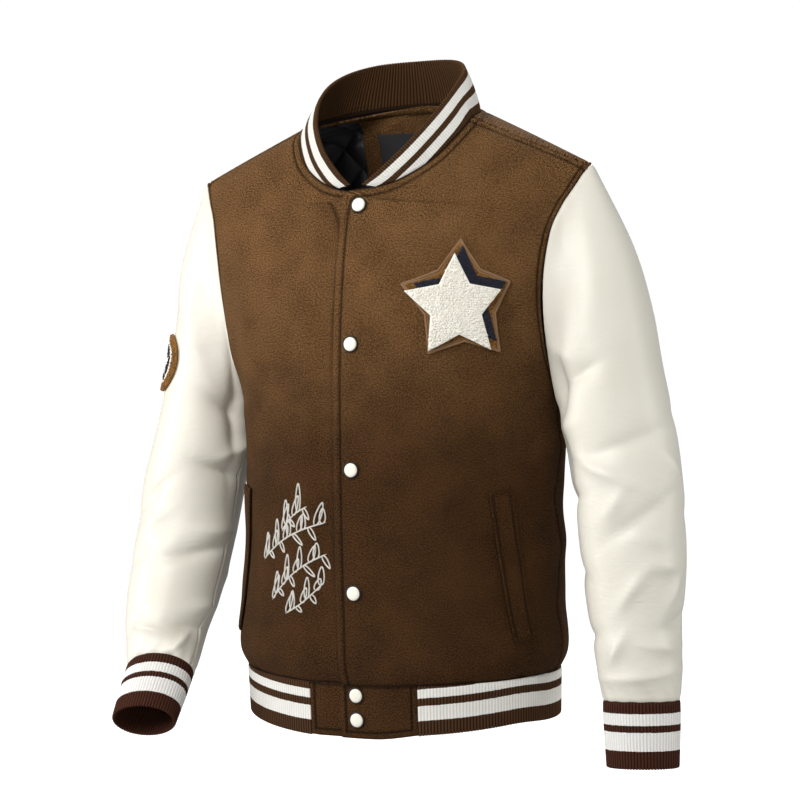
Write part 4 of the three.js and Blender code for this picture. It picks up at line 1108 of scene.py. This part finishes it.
def welt_piece(name, side):
    """A welt: a strip on the front, thicker along its folded edge, with a groove along the seam."""
    slant = math.radians(WELT["slant"])
    c, s = math.cos(slant), math.sin(slant)
    a, b = np.meshgrid(np.linspace(-0.5, 0.5, 26), np.linspace(-0.5, 0.5, 64))
    x, y = a * WELT["width"] * side, b * WELT["length"]
    across, up = WELT["across"] + y * c + x * s, WELT["up"] + y * s - x * c
    inside = np.minimum((0.5 - np.abs(a)) * WELT["width"], (0.5 - np.abs(b)) * WELT["length"])
    lift = WELT["thick"] + stitch_groove(inside, 3.4, 0.8, 1.0, 0.4)
    # Painted shade in the stitching groove; the welt's underside takes full painted shade and its rims most of it.
    painted_shade = 0.9 * groove_shade_bell(inside, 3.4, 1.2)
    low = on_front(side, across, up, WELT["gap"])
    high = on_front(side, across, up, WELT["gap"] + lift)
    uv = np.stack([x, y], -1)
    blocks = [(high, uv, 0, painted_shade), (low, uv, 0, 1.0), *rims(high, low, uv, ["low", "high", "left", "right"], 0.8)]
    piece = mesh_piece(name, blocks, [wool], [name])
    return piece


welt_piece("welt_left", 1)
welt_piece("welt_right", -1)

# Snaps: cream caps sprung into dark rims, four on the placket and two on the hem tab.
SNAP_HEIGHTS = (-91, -235, -365, -493, -601, -627)
SNAP_SHIFT = 3 / PANEL_ARC
CAP_PROFILE = np.array([(0, 2.6), (2.8, 2.55), (5.0, 2.3), (6.4, 1.9), (7.1, 1.4), (7.3, 1.0), (7.3, 0.5)])
RIM_PROFILE = np.array([(7.2, 0.9), (7.6, 1.5), (8.1, 1.6), (8.7, 1.2), (9.0, 0.5), (8.7, 0), (0, 0)])


def cap_look(tree):
    """Cream with a few faint scuffs."""
    place = part(tree, "ShaderNodeTexCoord").outputs["Object"]
    scuff = noise(tree, place, 420, 3.0)
    return blend_colours(tree, scuff, colour("efe9d6"), colour("fbf8ec")), scuff, 0.00006


def rim_look(tree):
    """Dark bronzed metal, uneven in tone."""
    place = part(tree, "ShaderNodeTexCoord").outputs["Object"]
    tone = noise(tree, place, 600, 2.0)
    return blend_colours(tree, tone, colour("0e0906"), colour("20150d")), tone, 0.00005


cream_cap = finish_of("cream_snap_cap", 0.28, cap_look, Coat_Weight=0.4, Coat_Roughness=0.12)
dark_rim = finish_of("dark_snap_rim", 0.45, rim_look, Metallic=0.1)


def lathe(profile, seat, normal, turns=40):
    """A profile of radius and height turned round a normal, as a grid of points."""
    side = np.cross(normal, [0, 0, 1.0])
    side /= np.linalg.norm(side)
    up = np.cross(side, normal)
    angle = np.linspace(0, 2 * math.pi, turns + 1)[None, :, None]
    r, h = profile[:, 0][:, None, None], profile[:, 1][:, None, None]
    return seat + normal * h + (side * np.cos(angle) + up * np.sin(angle)) * r


for k, z in enumerate(SNAP_HEIGHTS):
    if z < FRONT[0][0]:
        seat_form, place = hem_form(), np.array([0.001])
        v = np.array([(z - HEM_BOTTOM) / (FRONT[0][0] - HEM_BOTTOM)])
    else:
        seat_form, place = front_form(1), np.array([SNAP_SHIFT])
        v = row_at(seat_form, place, z)
    seat, normal = seat_form(place, v)[0], normals(seat_form, place, v)[0]
    seat = seat + normal * 0.35
    grids = [(lathe(CAP_PROFILE, seat, normal), np.zeros(2), 0), (lathe(RIM_PROFILE, seat, normal), np.zeros(2), 1)]
    mesh_piece(f"snap_{k + 1}", grids, [cream_cap, dark_rim], [f"snap_{k + 1}"])

# Chest patch: a generic five-pointed star of looped chenille on a felt backing, with a dark shadow star
# behind it. The pile is hundreds of small yarn loops, as the chenille machine lays them.
STAR = {"across": 97, "up": -199, "radius": 54, "hollow": 0.52}
BACKING_MARGIN, SHADOW_SHIFT, BACKING_SHIFT = 10, 8, 5
PATCH_FIRST_GAP, PATCH_GAP = 0.9, 1.3
FELT, PILE = 1.2, 1.8
PATCH_STRETCH = 0.93


def star_radius(angle, radius):
    """Distance from the middle to the outline of a star of five straight-sided points."""
    half = math.pi / 5
    a = np.mod(angle - math.pi / 2, 2 * half)
    t = np.minimum(a, 2 * half - a)
    inner = radius * STAR["hollow"]
    x, y = inner * math.cos(half), inner * math.sin(half)
    return radius * y / (y * np.cos(t) + (radius - x) * np.sin(t))


def soft_radius(angle, radius):
    """The backing's outline: the star's, filled out and with a margin."""
    return star_radius(angle, radius) * 0.92 + BACKING_MARGIN + 4


def over_front(x, y, height):
    """A place near the patch's middle, by mm across and up, lifted off the left front."""
    return on_front(1, STAR["across"] + x * PATCH_STRETCH, STAR["up"] + y, height)


def pad_blocks(place, outline, low, high, turns=160, rings=26):
    """A pad between two heights: rings out to an outline, rounded down over its edge."""
    angle, share = np.meshgrid(np.linspace(0, 2 * math.pi, turns + 1), np.linspace(0, 1, rings))
    radius = outline(angle) * np.sin(share * math.pi / 2)
    x, y = radius * np.cos(angle), radius * np.sin(angle)
    drop = (high - low) * 0.35 * share ** 12
    top, under = place(x, y, high - drop), place(x, y, low + 0 * drop)
    uv = np.stack([x, y], -1)
    rim = np.stack([top[-1], under[-1]])
    return [(top, uv, 0), (under, uv, 0), (rim, uv[[-1, -1]], 0)]


def lattice(reach, pitch, seed):
    """Points of a jittered triangular lattice over a square."""
    rng = np.random.default_rng(seed)
    row, column = np.mgrid[-reach:reach:pitch * 0.87, -reach:reach:pitch]
    column = column + (np.arange(row.shape[0]) % 2)[:, None] * pitch / 2
    jitter = rng.uniform(-0.26, 0.26, (2,) + row.shape) * pitch
    return (column + jitter[0]).ravel(), (row + jitter[1]).ravel()


def loops(place, x, y, height, size, seed):
    """Small squashed balls of yarn standing at places on a pile, turned and scaled at random."""
    rng = np.random.default_rng(seed)
    n = len(x)
    lat, lon = np.meshgrid(np.linspace(0, math.pi, 6), np.linspace(0, 2 * math.pi, 8), indexing="ij")
    ball = np.stack([np.sin(lat) * np.cos(lon), np.sin(lat) * np.sin(lon), np.cos(lat)], -1)
    spin = rng.uniform(0, 2 * math.pi, n)
    scale = size * rng.uniform(0.8, 1.25, (n, 3)) * np.array([1.15, 0.85, 0.8])
    local = ball[None] * scale[:, None, None, :]
    c, s = np.cos(spin)[:, None, None], np.sin(spin)[:, None, None]
    dx = local[..., 0] * c - local[..., 1] * s
    dy = local[..., 0] * s + local[..., 1] * c
    seat = place(x, y, height + rng.uniform(-0.25, 0.25, n))
    right = place(x + 0.5, y, height) - place(x - 0.5, y, height)
    up = place(x, y + 0.5, height) - place(x, y - 0.5, height)
    out = np.cross(right, up)
    axes = [a / np.linalg.norm(a, axis=-1, keepdims=True) for a in (right, up, out)]
    right, up, out = (a[:, None, None, :] for a in axes)
    grid = seat[:, None, None, :] + right * dx[..., None] + up * dy[..., None] + out * local[..., 2:]
    uv = np.stack([dx + x[:, None, None], dy + y[:, None, None]], -1)
    return (grid, uv, 0)


def pile_look(dark, light):
    """Fuzzy yarn between two close shades."""
    def look(tree):
        place = part(tree, "ShaderNodeTexCoord").outputs["Object"]
        strand = noise(tree, place, 1300, 4.0, 0.7)
        clump = noise(tree, place, 380, 2.0)
        mix = calc(tree, "ADD", calc(tree, "MULTIPLY", strand, 0.6), calc(tree, "MULTIPLY", clump, 0.4))
        spread = part(tree, "ShaderNodeMapRange", {0: mix, 1: 0.36, 2: 0.64, 3: 0.0, 4: 1.0}).outputs[0]
        return blend_colours(tree, spread, colour(dark), colour(light)), strand, 0.0007
    return look


white_pile = finish_of("white_chenille", 0.95, pile_look("e6dfcd", "fffdf6"), Sheen_Weight=0.1,
                       Sheen_Roughness=0.5)
navy_pile = finish_of("navy_chenille", 0.95, pile_look("080912", "1b1d33"), Sheen_Weight=0.06,
                      Sheen_Roughness=0.5)
gold_pile = finish_of("brown_chenille", 0.95, pile_look("1f1003", "b0782c"), Sheen_Weight=0.06,
                      Sheen_Roughness=0.5)

half_place = lambda x, y, h: over_front(x + BACKING_SHIFT, y + BACKING_SHIFT, h)
shadow_place = lambda x, y, h: over_front(x + SHADOW_SHIFT, y + SHADOW_SHIFT, h)
star_line = lambda angle: star_radius(angle, STAR["radius"])
soft_line = lambda angle: soft_radius(angle, STAR["radius"])
backing_top = PATCH_FIRST_GAP + FELT
shadow_low = backing_top + PATCH_GAP
shadow_top = shadow_low + FELT
star_low = shadow_top + PATCH_GAP
star_top = star_low + PILE


def within(x, y, line, margin):
    """Which points are inside an outline by a margin."""
    return np.hypot(x, y) < line(np.arctan2(y, x)) - margin


x, y = lattice(66, 2.7, 3)
keep = within(x, y, star_line, 1.8)
white_loops = loops(over_front, x[keep], y[keep], star_top, 1.6, 4)
patch_star = mesh_piece("patch_star", pad_blocks(over_front, star_line, star_low, star_top) + [white_loops],
                        [white_pile], ["patch_star"])
x, y = lattice(66, 2.35, 5)
keep = within(x, y, star_line, 1.4) & ~within(x + SHADOW_SHIFT, y + SHADOW_SHIFT, star_line, 2.0)
navy_loops = loops(shadow_place, x[keep], y[keep], shadow_top + 0.5, 1.4, 6)
patch_shadow = mesh_piece("patch_shadow",
                          pad_blocks(shadow_place, star_line, shadow_low, shadow_top, 120, 16) + [navy_loops],
                          [navy_pile], ["patch_shadow"])
x, y = lattice(70, 2.4, 7)
hidden = within(x - SHADOW_SHIFT + BACKING_SHIFT, y - SHADOW_SHIFT + BACKING_SHIFT, star_line, 1.0)
hidden |= within(x + BACKING_SHIFT, y + BACKING_SHIFT, star_line, 1.0)
keep = within(x, y, soft_line, 4.2) & ~hidden
gold_loops = loops(half_place, x[keep], y[keep], backing_top + 0.4, 1.35, 8)
cord_angle = np.linspace(0, 2 * math.pi, 361)
cord_blocks = []
for inset, thick in ((0.4, 1.15), (3.0, 0.75)):
    reach = soft_line(cord_angle) - inset
    middle = half_place(reach * np.cos(cord_angle), reach * np.sin(cord_angle), backing_top + 0.2)
    top = half_place(reach * np.cos(cord_angle), reach * np.sin(cord_angle), backing_top + 1.2) - middle
    over = np.cross(np.gradient(middle, axis=0), top)
    over /= np.linalg.norm(over, axis=-1, keepdims=True)
    round_it = np.linspace(0, 2 * math.pi, 9)[None, :, None]
    ring = over[:, None] * np.cos(round_it) * thick + top[:, None] * np.sin(round_it) * thick
    along = path_length(middle[None], 1)[0]
    uv = np.stack(np.broadcast_arrays(along[:, None], round_it[..., 0] * thick), -1)
    cord_blocks.append((middle[:, None] + ring, uv, 1))


def cord_look(tree):
    """Tan thread wound over the edge, in slanted turns, with painted shade in the grooves between them."""
    cloth = part(tree, "ShaderNodeUVMap", uv_map="cloth").outputs[0]
    split = part(tree, "ShaderNodeSeparateXYZ", {0: cloth})
    slant = calc(tree, "ADD", split.outputs[0], calc(tree, "MULTIPLY", split.outputs[1], 0.5))
    turns = calc(tree, "SINE", calc(tree, "MULTIPLY", slant, 2 * math.pi / 0.0009))
    # Painted shade: darker tan in the grooves between the turns.
    tone = calc(tree, "ADD", 0.5, calc(tree, "MULTIPLY", turns, 0.5))
    return blend_colours(tree, tone, colour("6e4a28"), colour("b98e5c")), turns, 0.0002


tan_cord = finish_of("tan_edge_thread", 0.6, cord_look, Sheen_Weight=0.15)
patch_backing = mesh_piece("patch_backing",
                           pad_blocks(half_place, soft_line, PATCH_FIRST_GAP, backing_top, 120, 16)
                           + [gold_loops] + cord_blocks,
                           [gold_pile, tan_cord], ["patch_backing"])

# Embroidery on the right front: four leafy sprigs in white thread that climb towards the front edge,
# sewn in a narrow satin stitch that stands a little above the wool.
SPRIGS = [
    # start across, start up, end across, end up, bow, leaves, leaf length
    (62, -432, 33, -404, 3, 6, 27),
    (89, -464, 17, -420, 5, 14, 25),
    (74, -506, 17, -453, 5, 12, 25),
    (57, -519, 20, -483, -3, 8, 21),
]
STITCH_WIDTH, STITCH_HEIGHT = 1.7, 0.8


def stem_points(sprig, share):
    """A straight line between the sprig's ends, bowed sideways by a half sine."""
    across, up, end_across, end_up, bow = sprig[:5]
    run, rise = end_across - across, end_up - up
    length = math.hypot(run, rise)
    bend = bow * np.sin(math.pi * share)
    return np.stack([across + run * share + rise / length * bend,
                     up + rise * share - run / length * bend], -1)


def leaf_points(foot, lean, length, width):
    """A closed teardrop: out along its middle by a half cosine and sideways by a sine."""
    turn = np.linspace(0, 2 * math.pi, 26)
    along = length * (1 - np.cos(turn)) / 2
    over = width / 2 * np.sin(turn) * (0.55 + 0.45 * np.cos(turn / 2) ** 2)
    c, s = math.cos(lean), math.sin(lean)
    return foot + np.stack([along * -c + over * s, along * s + over * c], -1)


def sprig_strokes(sprig):
    """The stem and its leaves, tall ones above it and short ones below it by turns."""
    leaves, length = sprig[5:]
    strokes = [stem_points(sprig, np.linspace(0, 1, 40))]
    for k in range(leaves):
        share = (k + 0.35) / leaves
        foot = stem_points(sprig, np.array([share]))[0]
        above = k % 3 != 2
        lean = math.radians((74 + 16 * math.sin(2.1 * k)) if above else (-58 + 9 * math.sin(k)))
        reach = length * (0.85 + 0.25 * math.sin(1.7 * k + 1)) * (1 if above else 0.55)
        strokes.append(leaf_points(foot, lean, reach, 6.0 if above else 4.5))
    return strokes


def thread_block(side, stroke, width, height):
    """A flat-bottomed cord along a stroke on a front, drawn to a point at both ends."""
    middle = on_front(side, stroke[:, 0], stroke[:, 1], 0.1)
    top = on_front(side, stroke[:, 0], stroke[:, 1], 1.1) - middle
    run = np.gradient(middle, axis=0)
    over = np.cross(run, top)
    over /= np.maximum(np.linalg.norm(over, axis=-1, keepdims=True), 1e-9)
    share = np.linspace(0, 1, len(stroke))
    swell = np.clip(np.minimum(share, 1 - share) * len(stroke) / 2, 0, 1)[:, None, None]
    angle = np.linspace(0, 2 * math.pi, 9)[None, :, None]
    ring = over[:, None] * (np.cos(angle) * width / 2) + top[:, None] * (np.sin(angle) * height)
    length = path_length(middle[None], 1)[0]
    uv = np.stack([np.broadcast_to(length[:, None], (len(stroke), 9)),
                   np.broadcast_to(angle[..., 0] * width / 2, (len(stroke), 9))], -1)
    return middle[:, None] + ring * swell, uv, 0


def satin_stitch_look(tree):
    """White thread laid across the stroke, each pass a fine slanted ridge, with painted shade between the passes."""
    cloth = part(tree, "ShaderNodeUVMap", uv_map="cloth").outputs[0]
    split = part(tree, "ShaderNodeSeparateXYZ", {0: cloth})
    slant = calc(tree, "ADD", split.outputs[0], calc(tree, "MULTIPLY", split.outputs[1], 0.35))
    passes = calc(tree, "SINE", calc(tree, "MULTIPLY", slant, 2 * math.pi / 0.00045))
    # Painted shade: greyer white in the grooves between the passes.
    tone = calc(tree, "ADD", 0.6, calc(tree, "MULTIPLY", passes, 0.4))
    return blend_colours(tree, tone, colour("cfc8ba"), colour("fbf8f0")), passes, 0.0001


white_thread = finish_of("white_thread", 0.5, satin_stitch_look, Sheen_Weight=0.2)
sprig_blocks = [thread_block(-1, stroke, STITCH_WIDTH, STITCH_HEIGHT)
                for sprig in SPRIGS for stroke in sprig_strokes(sprig)]
embroidery = mesh_piece("embroidered_sprigs", sprig_blocks, [white_thread], None)

# Sleeve patch: a round chenille badge on the wearer's right upper sleeve, in plain rings round a small
# five-pointed star.
DISC = {"round": 142, "up": -256, "radius": 32, "thick": 3.0}
disc_form = sleeve_form(ARM_RIGHT, FOLDS_SLEEVE_RIGHT, -1)


def over_sleeve(x, y, height):
    """A place near the badge's middle on the sleeve, lifted off the cloth."""
    x, y, height = np.broadcast_arrays(*(np.asarray(v, float) for v in (x, y, height)))
    turn = (DISC["round"] + x) / SLEEVE_TURN
    low, high = np.zeros(x.shape), np.full(x.shape, float(len(ARM_RIGHT)))
    for _ in range(24):
        middle = (low + high) / 2
        above = disc_form.plain(turn, middle)[..., 2] > DISC["up"] + y
        low, high = np.where(above, middle, low), np.where(above, high, middle)
    return disc_form(turn, low) + normals(disc_form, turn, low) * height[..., None]


disc_line = lambda angle: np.full_like(angle, DISC["radius"])
x, y = lattice(34, 2.35, 9)
r = np.hypot(x, y)
small_star = r < star_radius(np.arctan2(y, x), 15)
shade = np.where(small_star, 1, np.where(r < 20, 2, np.where(r < 23, 1, 0)))
disc_blocks = pad_blocks(over_sleeve, disc_line, 1.0, 1 + DISC["thick"], 96, 14)
for number in (0, 1, 2):
    keep = (r < DISC["radius"] - 1.6) & (shade == number)
    grid, uv, _ = loops(over_sleeve, x[keep], y[keep], 1 + DISC["thick"], 1.4, 10 + number)
    disc_blocks.append((grid, uv, number))
sleeve_patch = mesh_piece("sleeve_patch", disc_blocks, [gold_pile, white_pile, navy_pile],
                          ["sleeve_patch"])

# Inside the back neck: a wool facing over the quilted satin, and a bare black woven label on it.
LINING_DEPTH, LINING = WOOL + 0.6, 1.0
FACING_DEPTH, FACING, FACING_WIDE = WOOL + LINING + 1.1, 1.2, 76
LABEL_DEPTH, LABEL = WOOL + LINING + 2.9, 0.6
LABEL_LOW, LABEL_HIGH = -56, -6
lining_rows = np.concatenate([np.linspace(UNDERARM_ROW, NECK_ROW, 64)[:-1],
                              np.linspace(NECK_ROW, SHOULDER_ROW - 1 / 3, 30)])
lining_reach = np.linspace(0, 8 / 9, 66)


def quilted(across, up, at, neck):
    """Diamond quilting: puffs between stitched lines along both diagonals, and a few crumples."""
    a, b = (across + up) / QUILT * math.pi, (across - up) / QUILT * math.pi
    puff = (np.abs(np.sin(a)) * np.abs(np.sin(b))) ** 0.5
    crumple = 0.5 * np.sin(across / 9 + 2 * np.sin(up / 17)) * np.sin(up / 13)
    return -1.6 * puff - crumple


flat_lift = lambda across, up, at, neck: np.zeros_like(across)
lining_outer = back_halves(lining_rows, lining_reach, LINING_DEPTH, flat_lift)
lining_inner = back_halves(lining_rows, lining_reach, LINING_DEPTH + LINING, lambda *g: 0.5 * quilted(*g))
lining = mesh_piece("lining", lining_outer + lining_inner + half_rims(lining_outer, lining_inner, lining_rows),
                    [satin], ["lining"])


def facing_lift(across, up, at, neck):
    """A ridge 7 mm wide along the neck edge with a groove of stitching below it."""
    return -1.2 * np.exp(-(neck / 6) ** 4) + 0.7 * np.exp(-((neck - 8) / 1.3) ** 2)


def facing_painted_shade(across, up, at, neck):
    """The same groove, as painted shade."""
    return groove_shade_bell(neck, 8, 1.6)


facing_rows = np.concatenate([np.linspace(NECK_ROW - 2 / 3, NECK_ROW, 40)[:-1],
                              np.linspace(NECK_ROW, SHOULDER_ROW - 1 / 3, 40)])
facing_start = panel_half(BACK, np.zeros_like(facing_rows), facing_rows)[:, 0]
facing_out, facing_wrap = read(BACK, facing_rows)[[3, 6]]
facing_share = np.clip((FACING_WIDE - facing_start) / (facing_out - facing_start), 0.05, 1) ** (1 / SQUARE)
facing_limit = np.arcsin(facing_share * np.sin(np.radians(facing_wrap))) / np.radians(facing_wrap)
facing_reach = facing_limit[:, None] * np.linspace(0, 1, 50)[None, :]
facing_outer = back_halves(facing_rows, facing_reach, FACING_DEPTH, flat_lift)
facing_inner = back_halves(facing_rows, facing_reach, FACING_DEPTH + FACING, facing_lift, 0,
                           facing_painted_shade, 0, True)
facing = mesh_piece("facing_back_neck",
                    facing_outer + facing_inner + half_rims(facing_outer, facing_inner, facing_rows),
                    [wool], ["facing_back_neck"])


def label_look(tree):
    """Black woven tape with a fine rib across it."""
    cloth = part(tree, "ShaderNodeUVMap", uv_map="cloth").outputs[0]
    up = part(tree, "ShaderNodeSeparateXYZ", {0: cloth}).outputs[1]
    weave = calc(tree, "SINE", calc(tree, "MULTIPLY", up, 2 * math.pi / 0.0008))
    return colour("262528"), weave, 0.00015


woven_tape = finish_of("black_woven_tape", 0.6, label_look)
label_reach = np.linspace(0, 1.9 / 9, 30)
label_up = np.linspace(LABEL_LOW, LABEL_HIGH, 24)[:, None] + 0 * label_reach
label_rows = row_at(back_form(1), label_reach + 0 * label_up, label_up)
label_outer = back_halves(label_rows, label_reach, LABEL_DEPTH, flat_lift)
label_inner = back_halves(label_rows, label_reach, LABEL_DEPTH + LABEL, flat_lift)
label_blocks = label_outer + label_inner
for (a, uv, *_), (b, *_) in zip(label_outer, label_inner):
    label_blocks += rims(a, b, uv, ["low", "high", "right"])
label = mesh_piece("label", label_blocks, [woven_tape], ["label"])

# Studio: a pale floor that curves up behind, soft light from both sides and above, and the camera at
# the photograph's angle.
FLOOR, REACH = -0.86, 7.0


def disc_points(radius, rings, turns):
    """Rings of points round the middle of a level disc at the floor's height."""
    angle, share = np.meshgrid(np.linspace(0, 2 * math.pi, turns + 1), np.linspace(0, 1, rings))
    return np.stack([radius * share * np.cos(angle), radius * share * np.sin(angle),
                     np.full_like(angle, FLOOR)], -1)


def stage_piece(name, grid, material):
    """A backdrop from a grid of points in metres, unseen by diffuse and glossy rays."""
    number = np.arange(grid[..., 0].size).reshape(grid.shape[:-1])
    corners = np.stack([number[:-1, :-1], number[1:, :-1], number[1:, 1:], number[:-1, 1:]], -1).reshape(-1, 4)
    mesh = bpy.data.meshes.new(name)
    mesh.from_pydata(grid.reshape(-1, 3).tolist(), [], corners.tolist())
    mesh.materials.append(material)
    piece = bpy.data.objects.new(name, mesh)
    bpy.context.scene.collection.objects.link(piece)
    piece.visible_diffuse = False
    piece.visible_glossy = False
    return piece


paper = bpy.data.materials.new("pale_paper")
paper.use_nodes = True
paper_shader = next(n for n in paper.node_tree.nodes if n.type == "BSDF_PRINCIPLED")
paper_shader.inputs["Base Color"].default_value = (0.5, 0.5, 0.5, 1)
paper_shader.inputs["Roughness"].default_value = 0.9
paper_shader.inputs["Emission Color"].default_value = (1, 1, 1, 1)
paper_shader.inputs["Emission Strength"].default_value = 0.86
stage_piece("floor", disc_points(REACH, 12, 96), paper)
dome_angle, dome_rise = np.meshgrid(np.linspace(0, 2 * math.pi, 97), np.linspace(0, math.pi / 2, 25))
dome_grid = np.stack([REACH * np.cos(dome_rise) * np.cos(dome_angle),
                      REACH * np.cos(dome_rise) * np.sin(dome_angle),
                      REACH * np.sin(dome_rise) + FLOOR], -1)
haze = bpy.data.materials.new("white_dome")
haze.use_nodes = True
haze_shader = next(n for n in haze.node_tree.nodes if n.type == "BSDF_PRINCIPLED")
haze_shader.inputs["Base Color"].default_value = (0, 0, 0, 1)
haze_shader.inputs["Emission Color"].default_value = (1, 1, 1, 1)
haze_shader.inputs["Emission Strength"].default_value = 1.0
dome = stage_piece("dome", dome_grid, haze)
dome.visible_shadow = False
dome.visible_transmission = False

world = bpy.data.worlds.new("studio")
world.use_nodes = True
world.node_tree.nodes["Background"].inputs[0].default_value = (1, 1, 1, 1)
world.node_tree.nodes["Background"].inputs[1].default_value = 0.33
bpy.context.scene.world = world


def soft_light(name, azimuth, elevation, distance, size, power):
    """An area light at an angle round the jacket's middle, facing it."""
    a, e = math.radians(azimuth), math.radians(elevation)
    back = np.array([math.sin(a) * math.cos(e), -math.cos(a) * math.cos(e), math.sin(e)])
    data = bpy.data.lights.new(name, "AREA")
    data.shape = "RECTANGLE"
    data.size, data.size_y = size
    data.energy = power
    lamp = bpy.data.objects.new(name, data)
    lamp.location = back * distance + np.array([0, 0, -0.3])
    side = np.array([math.cos(a), math.sin(a), 0])
    up = np.cross(back, side)
    lamp.rotation_mode = "QUATERNION"
    rotation = np.stack([side, up, back], -1)
    lamp.rotation_quaternion = Matrix(rotation.tolist()).to_quaternion()
    bpy.context.scene.collection.objects.link(lamp)


soft_light("key", -8, 34, 2.4, (1.1, 1.1), 38)
soft_light("low_fill", 34, -12, 2.4, (1.2, 0.8), 15)
soft_light("left_strip", -58, 4, 1.8, (0.4, 1.4), 17)
soft_light("right_strip", 104, 4, 1.9, (0.4, 1.4), 9)
soft_light("back", 200, 40, 2.2, (1.2, 1.2), 22)

AZIMUTH, ELEVATION, ROLL = math.radians(26.5), math.radians(2.7), math.radians(1.4)
DISTANCE, FOCUS = 2.6, 2407.4
back_axis = np.array([math.sin(AZIMUTH) * math.cos(ELEVATION), -math.cos(AZIMUTH) * math.cos(ELEVATION),
                      math.sin(ELEVATION)])
right_axis = np.array([math.cos(AZIMUTH), math.sin(AZIMUTH), 0])
up_axis = np.cross(back_axis, right_axis)
rolled_right = right_axis * math.cos(ROLL) - up_axis * math.sin(ROLL)
rolled_up = up_axis * math.cos(ROLL) + right_axis * math.sin(ROLL)
camera_data = bpy.data.cameras.new("camera")
camera_data.sensor_width = 36
camera_data.lens = FOCUS * 36 / 800
camera_data.shift_x = 0.5 / 800
camera_data.shift_y = 0.8 / 800
camera = bpy.data.objects.new("camera", camera_data)
camera.location = np.array([0, 0, -0.3]) + back_axis * DISTANCE
camera.rotation_mode = "QUATERNION"
camera_axes = np.stack([rolled_right, rolled_up, back_axis], -1)
camera.rotation_quaternion = Matrix(camera_axes.tolist()).to_quaternion()
bpy.context.scene.collection.objects.link(camera)
bpy.context.scene.camera = camera
bpy.context.scene.view_settings.view_transform = "Standard"
